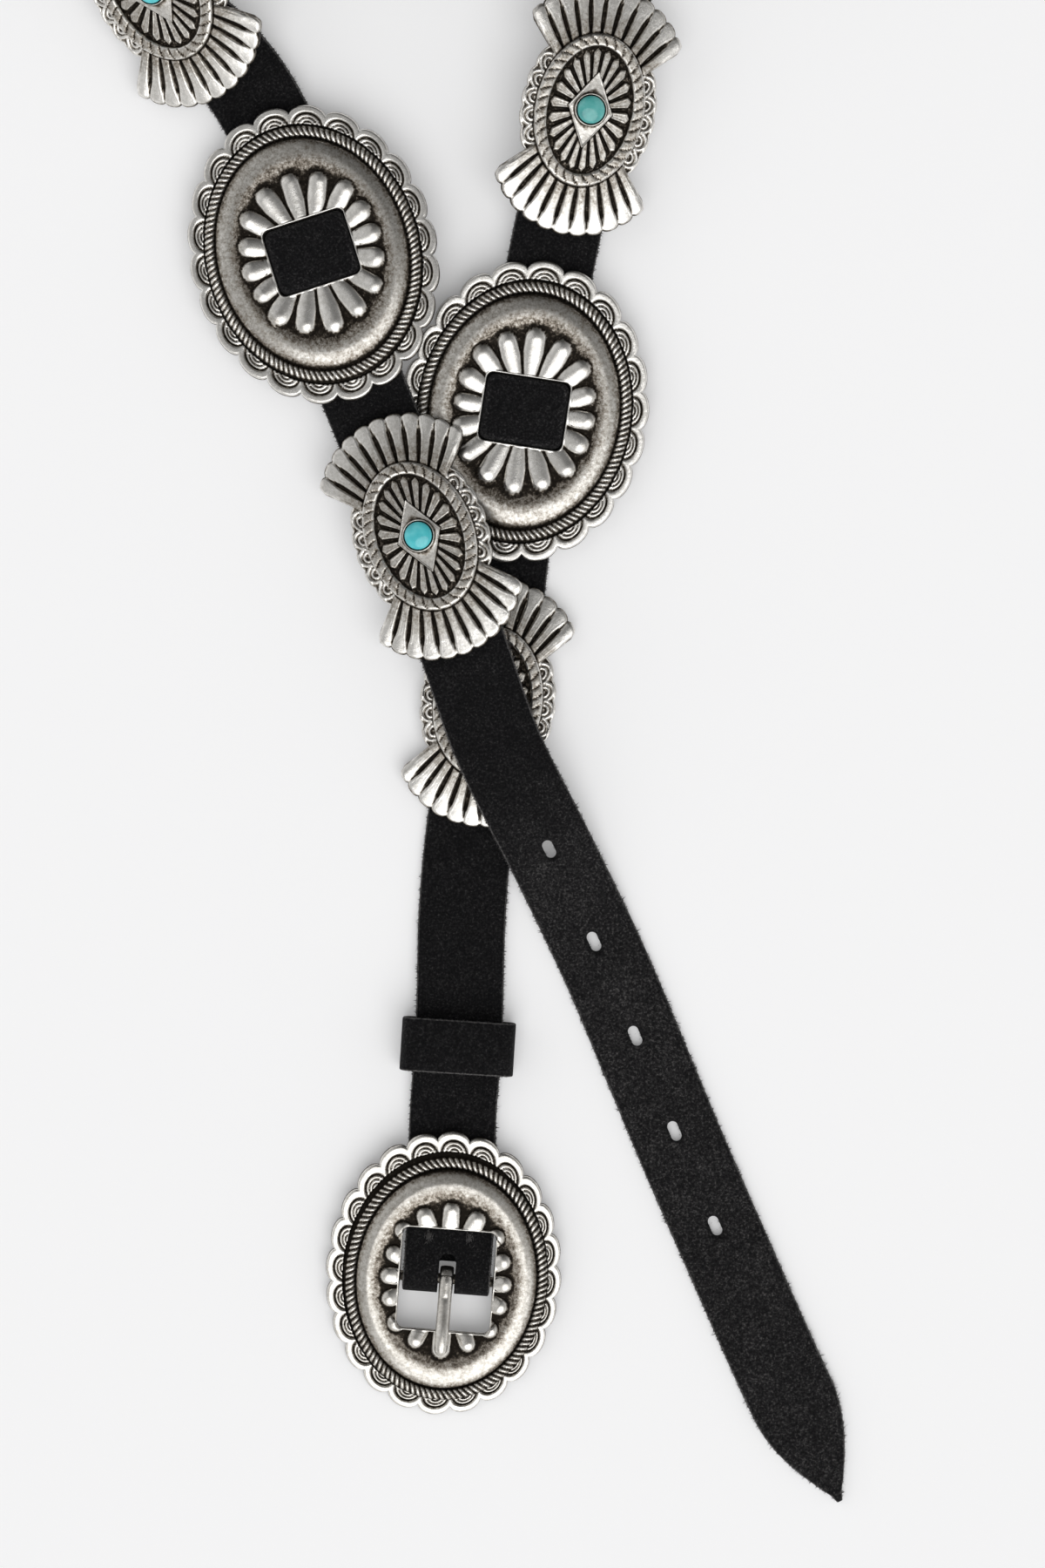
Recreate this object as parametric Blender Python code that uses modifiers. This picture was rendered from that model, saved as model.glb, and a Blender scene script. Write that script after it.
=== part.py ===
# Concho belt lying flat: one suede strap, nine cast plates, a scalloped buckle with its prong, and a keeper.
# Lengths are millimetres in the tables and become metres where a mesh is made. X right, Y up the strap, Z up.

import math

import bmesh
import bpy
import numpy as np
from mathutils import Matrix

MM = 0.001

# Strap
STRAP_WIDTH = 25.4
STRAP_THICK = 2.4
GAP = 0.3
POINT_LONG = 33.0
FOLD_BACK = 26.0
HOLE_LONG = 6.1
HOLE_WIDE = 3.1
HOLE_PITCH = 30.0
HOLE_COUNT = 5

# Oval plates with a window
OVAL_LONG = 88.5
OVAL_WIDE = 72.0
OVAL_LOBES = 22
DOME_HIGH = 6.6
WINDOW_WIDE = 24.5
WINDOW_LONG = 19.8

# Winged plates with a stone
WING_LONG = 73.0
WING_WIDE = 39.6
WING_HIGH = 4.2
KITE_LONG = 22.2
KITE_WIDE = 13.2
STONE_WIDE = 8.0
STONE_HIGH = 2.1
BEZEL_WALL = 0.4

# Buckle, prong and keeper
BUCKLE_LONG = 83.5
BUCKLE_WIDE = 68.5
BUCKLE_LOBES = 24
BUCKLE_WINDOW_WIDE = STRAP_WIDTH + 1.6
BUCKLE_WINDOW_LONG = 29.5
BUCKLE_PITCH = 3.8
BAR_WIDE = 3.0
BAR_HIGH = 2.2
PRONG_WIDE = 4.0
PRONG_REACH = 21.3
KEEPER_LONG = 15.5
KEEPER_WALL = 1.4
KEEPER_SLACK = 2.4
KEEPER_WIDE = STRAP_WIDTH + 2 * (KEEPER_SLACK + KEEPER_WALL)
KEEPER_ROOM = 5.2

# Metal walls and the staples that hold the strap
PLATE_WALL = 1.4
RIM_WALL = 1.0
BRIDGE_WALL = 1.2
BRIDGE_LONG = 4.5
BRIDGE_ROOM = 0.6
OVAL_POST_ROOM = 1.2
OVAL_POST_WIDE = 2.0
WING_POST_ROOM = 0.6
WING_POST_WIDE = 1.6
WING_SINK = 0.2

# Slot for the prong in the fold, and how far it runs past the bar
PRONG_ROOM = 0.45
SLOT_PAST_BAR = 7.6

# The plates follow one another at the oval's own length along the strap
PITCH = OVAL_LONG
FLOOR = STRAP_THICK / 2
RIM_OVER = STRAP_THICK / 2 + GAP + 0.1
TABLE = WING_HIGH + 0.8
STONE_SEAT = TABLE + 0.2
STONE_TOP = RIM_OVER + STONE_SEAT + GAP + STONE_HIGH
CROSSING = FLOOR + STONE_TOP + 2 * GAP + STRAP_THICK / 2
BAR_TOP = BAR_WIDE / 2 + GAP + STRAP_THICK / 2
BAR_WORLD = 0.49 * BUCKLE_LONG * math.sin(math.radians(BUCKLE_PITCH)) + BAR_HIGH
EYE_BORE = BAR_WIDE / 2 + GAP
EYE_OUT = EYE_BORE + 0.5 * PRONG_WIDE

# Route of the strap seen from above, in plate pitches: label, x, y, height, outward lean in degrees
ROUTE = [
    ("bar", -0.2497, -1.6237, BAR_WORLD + BAR_TOP, 0.0),
    ("mouth", -0.2384, -1.4655, 2.3 * FLOOR + BAR_TOP, 0.0),
    ("fold_end", -0.2320, -1.2900, 3.0 * FLOOR + 2 * GAP, 0.0),
    ("lip", -0.2283, -1.0904, 2.0 * FLOOR, 0.0),
    ("keeper", -0.2124, -0.8610, FLOOR + KEEPER_WALL + 2 * GAP, 0.0),
    ("flat", -0.1932, -0.3446, FLOOR, 0.0),
    ("wing_a", -0.1141, 0.2689, FLOOR, 0.0),
    ("between_a", -0.0576, 0.7400, FLOOR, 0.0),
    ("oval_a", 0.0068, 1.2226, FLOOR + 0.33 * DOME_HIGH, 0.0),
    ("between_b", 0.1006, 1.7446, FLOOR + 0.64 * DOME_HIGH, 3.0),
    ("wing_b", 0.2023, 2.2056, FLOOR + 0.94 * DOME_HIGH, 10.0),
    ("rise", 0.2847, 2.5650, FLOOR + 1.52 * DOME_HIGH, 22.0),
    ("oval_b", 0.3132, 3.1912, 0.44 * OVAL_WIDE, 58.0),
    ("wing_c", -0.2977, 3.9231, 0.47 * OVAL_WIDE, 86.0),
    ("oval_c", -1.1770, 3.5841, 0.44 * OVAL_WIDE, 58.0),
    ("wing_d", -1.1605, 2.6328, FLOOR + 1.21 * DOME_HIGH, 25.0),
    ("between_c", -0.8836, 2.2599, FLOOR + 0.41 * DOME_HIGH, 10.0),
    ("oval_d", -0.6814, 1.7322, FLOOR + 0.73 * DOME_HIGH, 4.0),
    ("between_d", -0.4859, 1.1989, FLOOR + 1.06 * DOME_HIGH, 6.0),
    ("wing_e", -0.3254, 0.8079, FLOOR + 1.43 * DOME_HIGH, 8.0),
    ("over_a", -0.1593, 0.3412, CROSSING, 3.0),
    ("over_b", -0.0768, 0.1141, CROSSING - 0.25 * STRAP_THICK, 1.0),
    ("down_a", 0.0373, -0.1153, 0.68 * CROSSING, 0.0),
    ("down_b", 0.1525, -0.3446, 0.27 * CROSSING, 0.0),
    ("tail_a", 0.2610, -0.5740, FLOOR, 0.0),
    ("tail_b", 0.4079, -0.9186, FLOOR, 0.0),
    ("tail_c", 0.5514, -1.2633, FLOOR, 0.0),
    ("tail_d", 0.7017, -1.6068, FLOOR, 0.0),
    ("tail_e", 0.8554, -1.9514, FLOOR, 0.0),
    ("tip", 1.0452, -2.3593, FLOOR, 0.0),
]

# Plates in order along the strap: node, kind, place on the route, stand-off as a share of the pitch
PLATES = [
    ("plate_wing_a", "wing", "wing_a", 0.0),
    ("plate_oval_a", "oval", "oval_a", 0.0045),
    ("plate_wing_b", "wing", "wing_b", 0.050),
    ("plate_oval_b", "oval", "oval_b", 0.062),
    ("plate_wing_c", "wing", "wing_c", 0.027),
    ("plate_oval_c", "oval", "oval_c", 0.051),
    ("plate_wing_d", "wing", "wing_d", 0.078),
    ("plate_oval_d", "oval", "oval_d", 0.0136),
    ("plate_wing_e", "wing", "wing_e", 0.008),
]

MATERIALS = {
    "suede": ((0.018, 0.018, 0.020), 0.95, 0.0),
    "silver": ((0.55, 0.53, 0.50), 0.38, 1.0),
    "turquoise": ((0.06, 0.52, 0.52), 0.25, 0.0),
}


# Route


def natural_spline(knots, values, at):
    n = len(knots)
    h = np.diff(knots)
    system = np.zeros((n, n))
    right = np.zeros((n, values.shape[1]))
    system[0, 0] = 1.0
    system[-1, -1] = 1.0
    for i in range(1, n - 1):
        system[i, i - 1] = h[i - 1]
        system[i, i] = 2 * (h[i - 1] + h[i])
        system[i, i + 1] = h[i]
        right[i] = 6 * ((values[i + 1] - values[i]) / h[i] - (values[i] - values[i - 1]) / h[i - 1])
    bend = np.linalg.solve(system, right)
    i = np.clip(np.searchsorted(knots, at) - 1, 0, n - 2)
    a = ((knots[i + 1] - at) / h[i])[:, None]
    b = ((at - knots[i]) / h[i])[:, None]
    hh = (h[i] ** 2 / 6)[:, None]
    return a * values[i] + b * values[i + 1] + ((a ** 3 - a) * bend[i] + (b ** 3 - b) * bend[i + 1]) * hh


def steady_curve(knots, values, at):
    h = np.diff(knots)
    d = np.diff(values) / h
    slope = np.zeros(len(knots))
    for i in range(1, len(knots) - 1):
        if d[i - 1] * d[i] > 0:
            w1 = 2 * h[i] + h[i - 1]
            w2 = h[i] + 2 * h[i - 1]
            slope[i] = (w1 + w2) / (w1 / d[i - 1] + w2 / d[i])
    i = np.clip(np.searchsorted(knots, at) - 1, 0, len(knots) - 2)
    t = (at - knots[i]) / h[i]
    return (
        (2 * t ** 3 - 3 * t ** 2 + 1) * values[i]
        + (t ** 3 - 2 * t ** 2 + t) * h[i] * slope[i]
        + (-2 * t ** 3 + 3 * t ** 2) * values[i + 1]
        + (t ** 3 - t ** 2) * h[i] * slope[i + 1]
    )


plan = np.array([[row[1], row[2]] for row in ROUTE]) * PITCH
chord = np.concatenate([[0.0], np.cumsum(np.linalg.norm(np.diff(plan, axis=0), axis=1))])
fine = np.linspace(0.0, chord[-1], 6001)
fine_plan = natural_spline(chord, plan, fine)
fine_run = np.concatenate([[0.0], np.cumsum(np.linalg.norm(np.diff(fine_plan, axis=0), axis=1))])
stop_run = np.interp(chord, fine, fine_run)
STOP = {row[0]: stop_run[i] for i, row in enumerate(ROUTE)}
STRAP_RUN = fine_run[-1]
HEIGHTS = np.array([row[3] for row in ROUTE])
LEANS = np.array([row[4] for row in ROUTE])


def base_point(s):
    s = np.atleast_1d(np.asarray(s, dtype=float))
    x = np.interp(s, fine_run, fine_plan[:, 0])
    y = np.interp(s, fine_run, fine_plan[:, 1])
    z = steady_curve(stop_run, HEIGHTS, s)
    return np.stack([x, y, z], axis=1)


def strap_frame(s):
    """Point, side, travel and face directions of the strap's own line at run s."""
    step = 0.5
    here = base_point(s)[0]
    travel = base_point(min(s + step, STRAP_RUN))[0] - base_point(max(s - step, 0.0))[0]
    travel /= np.linalg.norm(travel)
    out = np.array([travel[1], -travel[0], 0.0])
    out /= np.linalg.norm(out)
    up = np.cross(out, travel)
    lean = math.radians(steady_curve(stop_run, LEANS, np.array([s]))[0])
    face = math.cos(lean) * up + math.sin(lean) * out
    side = np.cross(travel, face)
    return here, side, travel, face


def seat_lift(kind, proud):
    if kind == "oval":
        return BRIDGE_WALL + GAP + STRAP_THICK / 2 + RIM_OVER + proud * PITCH
    return WING_SINK + RIM_OVER + proud * PITCH


def strap_lift(s):
    """How far the strap rises off its own line to pass over the bridge behind each plate."""
    total = 0.0
    for node, kind, place, proud in PLATES:
        reach = 0.475 * OVAL_LONG if kind == "oval" else 0.49 * WING_LONG
        d = abs(s - STOP[place])
        if d < reach:
            total += seat_lift(kind, proud) * math.cos(math.pi * d / (2 * reach)) ** 2
    return total


def place_matrix(s, lift):
    here, side, travel, face = strap_frame(s)
    m = np.eye(4)
    m[:3, 0] = side
    m[:3, 1] = travel
    m[:3, 2] = face
    m[:3, 3] = here + face * lift
    return m


def moved(points, m):
    points = np.asarray(points, dtype=float)
    return points @ m[:3, :3].T + m[:3, 3]


# Blender helpers


def clear_scene():
    for item in list(bpy.data.objects):
        bpy.data.objects.remove(item, do_unlink=True)
    for item in list(bpy.data.collections):
        bpy.data.collections.remove(item)


def new_collection(name):
    collection = bpy.data.collections.new(name)
    bpy.context.scene.collection.children.link(collection)
    return collection


def new_material(name):
    colour, rough, metal = MATERIALS[name]
    material = bpy.data.materials.new(name)
    material.use_nodes = True
    shader = material.node_tree.nodes["Principled BSDF"]
    shader.inputs["Base Color"].default_value = (*colour, 1.0)
    shader.inputs["Roughness"].default_value = rough
    shader.inputs["Metallic"].default_value = metal
    return material


def new_object(name, data, collection):
    item = bpy.data.objects.new(name, data)
    collection.objects.link(item)
    return item


def new_empty(name, m, parent, collection):
    item = new_object(name, None, collection)
    place(item, m, parent)
    return item


def place(item, m, parent):
    """Set location and rotation under the parent from a matrix in millimetres."""
    matrix = Matrix([list(row) for row in m])
    matrix.translation = matrix.translation * MM
    item.parent = parent
    item.matrix_basis = matrix


def at(x=0.0, y=0.0, z=0.0):
    m = np.eye(4)
    m[:3, 3] = (x, y, z)
    return m


def on_edge():
    """Turns a flat outline so that its Y runs along Z."""
    m = np.eye(4)
    m[:3, :3] = [[1, 0, 0], [0, 0, -1], [0, 1, 0]]
    return m


def lofted(name, rings, closed, collection):
    """Skin a row of rings; a ring may have half as many points as its neighbour. One point makes a cap."""
    bm = bmesh.new()
    rows = [[bm.verts.new(tuple(c * MM for c in point)) for point in ring] for ring in rings]
    pairs = list(zip(rows, rows[1:] + rows[:1])) if closed else list(zip(rows, rows[1:]))
    for a, b in pairs:
        na, nb = len(a), len(b)
        for k in range(min(na, nb) if min(na, nb) > 1 else max(na, nb)):
            if na == 1:
                bm.faces.new((a[0], b[(k + 1) % nb], b[k]))
            elif nb == 1:
                bm.faces.new((a[k], a[(k + 1) % na], b[0]))
            elif na == nb:
                bm.faces.new((a[k], a[(k + 1) % na], b[(k + 1) % nb], b[k]))
            elif na == 2 * nb:
                bm.faces.new((a[2 * k], a[2 * k + 1], b[k]))
                bm.faces.new((a[2 * k + 1], b[(k + 1) % nb], b[k]))
                bm.faces.new((a[2 * k + 1], a[(2 * k + 2) % na], b[(k + 1) % nb]))
            else:
                bm.faces.new((a[k], b[2 * k + 1], b[2 * k]))
                bm.faces.new((a[k], a[(k + 1) % na], b[2 * k + 1]))
                bm.faces.new((a[(k + 1) % na], b[(2 * k + 2) % nb], b[2 * k + 1]))
    if not closed and len(rows[0]) > 1:
        bm.faces.new(rows[0][::-1])
    if not closed and len(rows[-1]) > 1:
        bm.faces.new(rows[-1])
    bmesh.ops.recalc_face_normals(bm, faces=bm.faces)
    return from_bmesh(name, bm, collection)


def from_bmesh(name, bm, collection):
    data = bpy.data.meshes.new(name)
    bm.to_mesh(data)
    bm.free()
    return new_object(name, data, collection)


def as_mesh(source, collection):
    """Replace a curve or a turned profile by its welded mesh."""
    name = source.name
    bpy.context.view_layer.update()
    graph = bpy.context.evaluated_depsgraph_get()
    data = bpy.data.meshes.new_from_object(source.evaluated_get(graph))
    bpy.data.objects.remove(source, do_unlink=True)
    bm = bmesh.new()
    bm.from_mesh(data)
    bmesh.ops.remove_doubles(bm, verts=bm.verts, dist=0.01 * MM)
    bmesh.ops.recalc_face_normals(bm, faces=bm.faces)
    bm.to_mesh(data)
    bm.free()
    data.name = name
    return new_object(name, data, collection)


def extruded(name, outlines, thick, collection):
    """Flat outlines, filled, with half the thickness on each side."""
    curve = bpy.data.curves.new(name, "CURVE")
    curve.dimensions = "2D"
    curve.fill_mode = "BOTH"
    curve.extrude = thick / 2 * MM
    for outline in outlines:
        spline = curve.splines.new("POLY")
        spline.points.add(len(outline) - 1)
        for point, (x, y) in zip(spline.points, outline):
            point.co = (x * MM, y * MM, 0.0, 1.0)
        spline.use_cyclic_u = True
    return as_mesh(new_object(name, curve, collection), collection)


def tube(name, stations, collection):
    """Wire through rows of point and radius."""
    curve = bpy.data.curves.new(name, "CURVE")
    curve.dimensions = "3D"
    curve.bevel_depth = MM
    curve.bevel_resolution = 4
    curve.use_fill_caps = True
    spline = curve.splines.new("POLY")
    spline.points.add(len(stations) - 1)
    for point, (x, y, z, radius) in zip(spline.points, stations):
        point.co = (x * MM, y * MM, z * MM, 1.0)
        point.radius = radius
    return as_mesh(new_object(name, curve, collection), collection)


def turned(name, profile, axis, closed, steps, collection):
    """Profile of distance from the axis and place along it, swept once round."""
    data = bpy.data.meshes.new(name)
    if axis == "X":
        points = [(along * MM, radius * MM, 0.0) for radius, along in profile]
    else:
        points = [(radius * MM, 0.0, along * MM) for radius, along in profile]
    edges = [(k, k + 1) for k in range(len(points) - 1)]
    if closed:
        edges.append((len(points) - 1, 0))
    data.from_pydata(points, edges, [])
    item = new_object(name, data, collection)
    screw = item.modifiers.new("turn", "SCREW")
    screw.axis = axis
    screw.steps = steps
    screw.render_steps = steps
    screw.use_merge_vertices = True
    screw.merge_threshold = 0.01 * MM
    return as_mesh(item, collection)


def block(name, size, collection):
    bm = bmesh.new()
    bmesh.ops.create_cube(bm, size=1.0)
    bmesh.ops.scale(bm, vec=[c * MM for c in size], verts=bm.verts)
    return from_bmesh(name, bm, collection)


def rod(name, radius, long, collection):
    """Cylinder along X."""
    bm = bmesh.new()
    bmesh.ops.create_cone(
        bm, cap_ends=True, segments=16, radius1=radius * MM, radius2=radius * MM, depth=long * MM,
        matrix=Matrix.Rotation(math.pi / 2, 4, "Y"),
    )
    return from_bmesh(name, bm, collection)


def boolean(target, tool, operation):
    tool.hide_render = True
    tool.display_type = "WIRE"
    step = target.modifiers.new(tool.name, "BOOLEAN")
    step.operation = operation
    step.solver = "EXACT"
    step.object = tool


# Outlines and rings


def ellipse_ring(angles, across, along, z, cx=0.0, cy=0.0):
    return [(cx + across * math.sin(a), cy + along * math.cos(a), z) for a in angles]


def lobed_ring(count, lobes, across, along, depth, z, cx=0.0, cy=0.0):
    """Ellipse whose edge is a row of round lobes."""
    ring = []
    for k in range(count):
        a = 2 * math.pi * k / count
        u = abs(((k * lobes / count) + 0.5) % 1.0 - 0.5) * 2
        f = 1 - depth * (1 - math.sqrt(max(0.0, 1 - 0.96 * u * u)))
        ring.append((cx + across * f * math.sin(a), cy + along * f * math.cos(a), z))
    return ring


def window_ring(angles, wide, long, corner, z):
    """Where rays from the middle meet a rounded rectangle."""
    ring = []
    for a in angles:
        dx, dy = math.sin(a), math.cos(a)
        low, high = 0.0, wide + long
        for _ in range(40):
            mid = (low + high) / 2
            qx = max(abs(dx * mid) - (wide / 2 - corner), 0.0)
            qy = max(abs(dy * mid) - (long / 2 - corner), 0.0)
            if math.hypot(qx, qy) < corner:
                low = mid
            else:
                high = mid
        ring.append((dx * low, dy * low, z))
    return ring


def turn(count):
    return [2 * math.pi * k / count for k in range(count)]


def slot_outline(wide, long, steps=6):
    """Slot with round ends, long way on Y."""
    r = wide / 2
    outline = []
    for middle, start in ((long / 2 - r, 0.0), (r - long / 2, math.pi)):
        for k in range(steps + 1):
            t = start + math.pi * k / steps
            outline.append((r * math.cos(t), middle + r * math.sin(t)))
    return outline


def round_box_outline(wide, high, corner, middle, steps=4):
    outline = []
    for quarter in range(4):
        sx = (1, -1, -1, 1)[quarter]
        sy = (1, 1, -1, -1)[quarter]
        for k in range(steps + 1):
            t = math.pi / 2 * (quarter + k / steps)
            x = sx * (wide / 2 - corner) + corner * math.cos(t)
            outline.append((x, middle + sy * (high / 2 - corner) + corner * math.sin(t)))
    return outline


def staple_outline(inner, wall, bar_low, bar_high, top):
    """Staple soldered behind a plate: a bar under the strap on two posts."""
    outer = inner + wall
    return [
        (-outer, bar_low), (outer, bar_low), (outer, top), (inner, top),
        (inner, bar_high), (-inner, bar_high), (-inner, top), (-outer, top),
    ]


# Oval plate, buckle frame and winged plate


def window_plate(name, wide, long, lobes, win_wide, win_long, cx, cy, sink):
    """Domed plate with a lobed rim and a window, its rim's underside at minus sink."""
    n = 4 * lobes
    half = turn(n // 2)
    a, b = wide / 2, long / 2
    high = DOME_HIGH
    rings = [
        lobed_ring(n, lobes, a, b, 0.06, 0.0, cx, cy),
        lobed_ring(n, lobes, a, b, 0.06, RIM_WALL, cx, cy),
        lobed_ring(n, lobes, 0.87 * a, 0.87 * b, 0.0, RIM_WALL + 0.09 * high, cx / 2, cy / 2),
        ellipse_ring(half, 0.81 * a, 0.81 * b, 0.48 * high),
        ellipse_ring(half, 0.66 * a, 0.66 * b, 0.92 * high),
        window_ring(half, win_wide, win_long, 2.0, high),
        window_ring(half, win_wide, win_long, 2.0, high - PLATE_WALL),
        ellipse_ring(half, 0.66 * a, 0.66 * b, 0.92 * high - PLATE_WALL),
        lobed_ring(n, lobes, 0.87 * a, 0.87 * b, 0.0, 0.5 * RIM_WALL, cx / 2, cy / 2),
    ]
    lowered = [[(x, y, z - sink) for x, y, z in ring] for ring in rings]
    return lofted(name, lowered, True, parts)


def wing_angles():
    """Directions of the outline's points: eleven ribs on each fan, five scallops on each side."""
    fan = [math.radians(45.0 * k / 11) for k in range(12)]
    side = [math.radians(46.5 + 87.0 * k / 20) for k in range(21)]
    angles = fan + side
    angles += [math.pi - a for a in fan[:0:-1]] + [math.pi + a for a in fan]
    angles += [math.pi + a for a in side]
    angles += [2 * math.pi - a for a in fan[:0:-1]]
    return angles


def wing_outline(share, z):
    ring = []
    for i, a in enumerate(wing_angles()):
        s, c = math.sin(a), math.cos(a)
        off = abs(math.degrees(math.atan2(abs(s), abs(c))))
        if off <= 45.01:
            r = WING_LONG / 2 * (1 - 0.11 * (off / 45.0) ** 2)
            r *= 0.985 if i % 2 else 1.0
        else:
            u = abs(((90.0 - off) / 17.4 + 0.5) % 1.0 - 0.5) * 2
            r = (1 - 0.05 * u * u) / math.hypot(c / (0.66 * WING_WIDE), s / (WING_WIDE / 2))
        ring.append((share * r * s, share * r * c, z))
    return ring


def kite_ring(angles, wide, long, z):
    ring = []
    for a in angles:
        s, c = math.sin(a), math.cos(a)
        r = 1 / (abs(s) / (wide / 2) + abs(c) / (long / 2))
        ring.append((r * s, r * c, z))
    return ring


def wing_plate(name):
    full = wing_angles()
    half = full[::2]
    quarter = full[::4]
    under = RIM_OVER + 0.4
    rope_a, rope_b = 0.366 * WING_WIDE, 0.285 * WING_LONG
    seat = STONE_WIDE / 2 + GAP
    bezel = seat + BEZEL_WALL
    rings = [
        [(0.0, 0.0, under)],
        ellipse_ring(half, rope_a, rope_b, under),
        wing_outline(0.93, 0.5 * RIM_WALL),
        wing_outline(1.0, 0.0),
        wing_outline(1.0, RIM_WALL),
        ellipse_ring(full, 1.12 * rope_a, 1.09 * rope_b, 0.68 * WING_HIGH),
        ellipse_ring(half, rope_a, rope_b, WING_HIGH),
        kite_ring(half, KITE_WIDE, KITE_LONG, 0.9 * WING_HIGH),
        kite_ring(half, 0.96 * KITE_WIDE, 0.96 * KITE_LONG, TABLE),
        ellipse_ring(quarter, bezel, bezel, TABLE),
        ellipse_ring(quarter, bezel, bezel, STONE_SEAT + 0.43 * STONE_HIGH),
        ellipse_ring(quarter, seat, seat, STONE_SEAT + 0.43 * STONE_HIGH),
        ellipse_ring(quarter, seat, seat, STONE_SEAT),
        [(0.0, 0.0, STONE_SEAT)],
    ]
    return lofted(name, rings, False, parts)


def make_plate(node, kind, m):
    """One plate with its staple, and its stone in the bezel."""
    if kind == "oval":
        plate = window_plate(node, OVAL_WIDE, OVAL_LONG, OVAL_LOBES, WINDOW_WIDE, WINDOW_LONG, 0.0, 0.0, 0.0)
        inner = STRAP_WIDTH / 2 + OVAL_POST_ROOM
        top = DOME_HIGH - 0.7 * PLATE_WALL
        outline = staple_outline(inner, OVAL_POST_WIDE, -BRIDGE_ROOM, BRIDGE_WALL - BRIDGE_ROOM, top)
        staple = extruded(f"{node}_staple", [outline], BRIDGE_LONG, tools)
    else:
        plate = wing_plate(node)
        inner = STRAP_WIDTH / 2 + WING_POST_ROOM
        low = WING_SINK - STRAP_THICK / 2 - BRIDGE_ROOM
        outline = staple_outline(inner, WING_POST_WIDE, low - BRIDGE_WALL, low, RIM_OVER + 0.9)
        staple = extruded(f"{node}_staple", [outline], 0.8 * BRIDGE_LONG, tools)
        r, h = STONE_WIDE / 2, STONE_HIGH
        profile = [(0.0, 0.0), (r, 0.0), (r, 0.35 * h), (0.8 * r, 0.76 * h), (0.45 * r, 0.95 * h), (0.0, h)]
        stone = turned(node.replace("plate", "stone"), profile, "Z", False, 20, parts)
        stone.data.materials.append(materials["turquoise"])
        place(stone, at(z=STONE_SEAT + GAP), plate)
    plate.data.materials.append(materials["silver"])
    place(plate, m, root)
    place(staple, on_edge(), plate)
    boolean(plate, staple, "UNION")


# Strap, keeper, buckle and prong


def strap_section(point, side, face, half_wide, half_thick):
    c = min(0.4, 0.5 * half_wide, 0.5 * half_thick)
    corners = [
        (c - half_wide, -half_thick), (half_wide - c, -half_thick), (half_wide, c - half_thick),
        (half_wide, half_thick - c), (half_wide - c, half_thick), (c - half_wide, half_thick),
        (-half_wide, half_thick - c), (-half_wide, c - half_thick),
    ]
    return [point + side * u + face * v for u, v in corners]


def bar_frame():
    """Middle of the buckle's bar, the bar's direction, the level direction up the strap, and the axis frame."""
    here, side, travel, face = strap_frame(0.0)
    side = np.array([travel[1], -travel[0], 0.0])
    side /= np.linalg.norm(side)
    flat = np.array([-side[1], side[0], 0.0])
    bar = here - np.array([0.0, 0.0, BAR_TOP])
    pitch = math.radians(BUCKLE_PITCH)
    m = np.eye(4)
    m[:3, 0] = side
    m[:3, 1] = flat * math.cos(pitch) + np.array([0.0, 0.0, math.sin(pitch)])
    m[:3, 2] = np.cross(m[:3, 0], m[:3, 1])
    m[:3, 3] = bar
    return bar, side, flat, m


def strap_rings():
    """Sections from the fold's end, round the bar and along the route to the point."""
    bar, side, flat, m = bar_frame()
    up = np.array([0.0, 0.0, 1.0])
    half = STRAP_WIDTH / 2
    thick = STRAP_THICK / 2
    rings = []
    for k in range(6):
        share = 1 - k / 6
        drop = BAR_TOP + (bar[2] - BAR_TOP - thick) * share
        point = bar + flat * FOLD_BACK * share - up * drop
        rings.append(strap_section(point, side, -up, half, thick * (1 - 0.35 * share)))
    for k in range(13):
        t = math.pi * k / 13
        face = -up * math.cos(t) - flat * math.sin(t)
        rings.append(strap_section(bar + face * BAR_TOP, side, face, half, thick))
    runs = list(np.arange(0.0, STRAP_RUN - 1.1 * POINT_LONG, 0.07 * PITCH))
    runs += [STRAP_RUN - POINT_LONG * u for u in (1.0, 0.82, 0.64, 0.46, 0.28, 0.14, 0.05, 0.0)]
    for s in runs:
        here, across, travel, face = strap_frame(s)
        left = min(1.0, (STRAP_RUN - s) / POINT_LONG)
        wide = max(0.07, math.sin(left * math.pi / 2) ** 0.92) * half
        rings.append(strap_section(here + face * strap_lift(s), across, face, wide, thick))
    return rings


def make_strap():
    strap = lofted("strap", strap_rings(), False, parts)
    strap.data.materials.append(materials["suede"])
    place(strap, at(), root)
    bar, side, flat, m = bar_frame()
    slot_long = 2 * BAR_TOP + SLOT_PAST_BAR + 4.0
    slot_wide = PRONG_WIDE + 2 * PRONG_ROOM
    slot = extruded("strap_slot", [slot_outline(slot_wide, slot_long)], 8 * BAR_TOP, tools)
    level = np.eye(4)
    level[:3, 0] = side
    level[:3, 1] = flat
    level[:3, 3] = bar + flat * (SLOT_PAST_BAR - slot_long / 2)
    place(slot, level, root)
    boolean(strap, slot, "DIFFERENCE")
    first = STOP["down_a"] + 0.11 * PITCH
    for k in range(HOLE_COUNT):
        hole = extruded(f"strap_hole_{k + 1}", [slot_outline(HOLE_WIDE, HOLE_LONG)], 3 * STRAP_THICK, tools)
        place(hole, place_matrix(first + k * HOLE_PITCH, 0.0), root)
        boolean(strap, hole, "DIFFERENCE")


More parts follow.
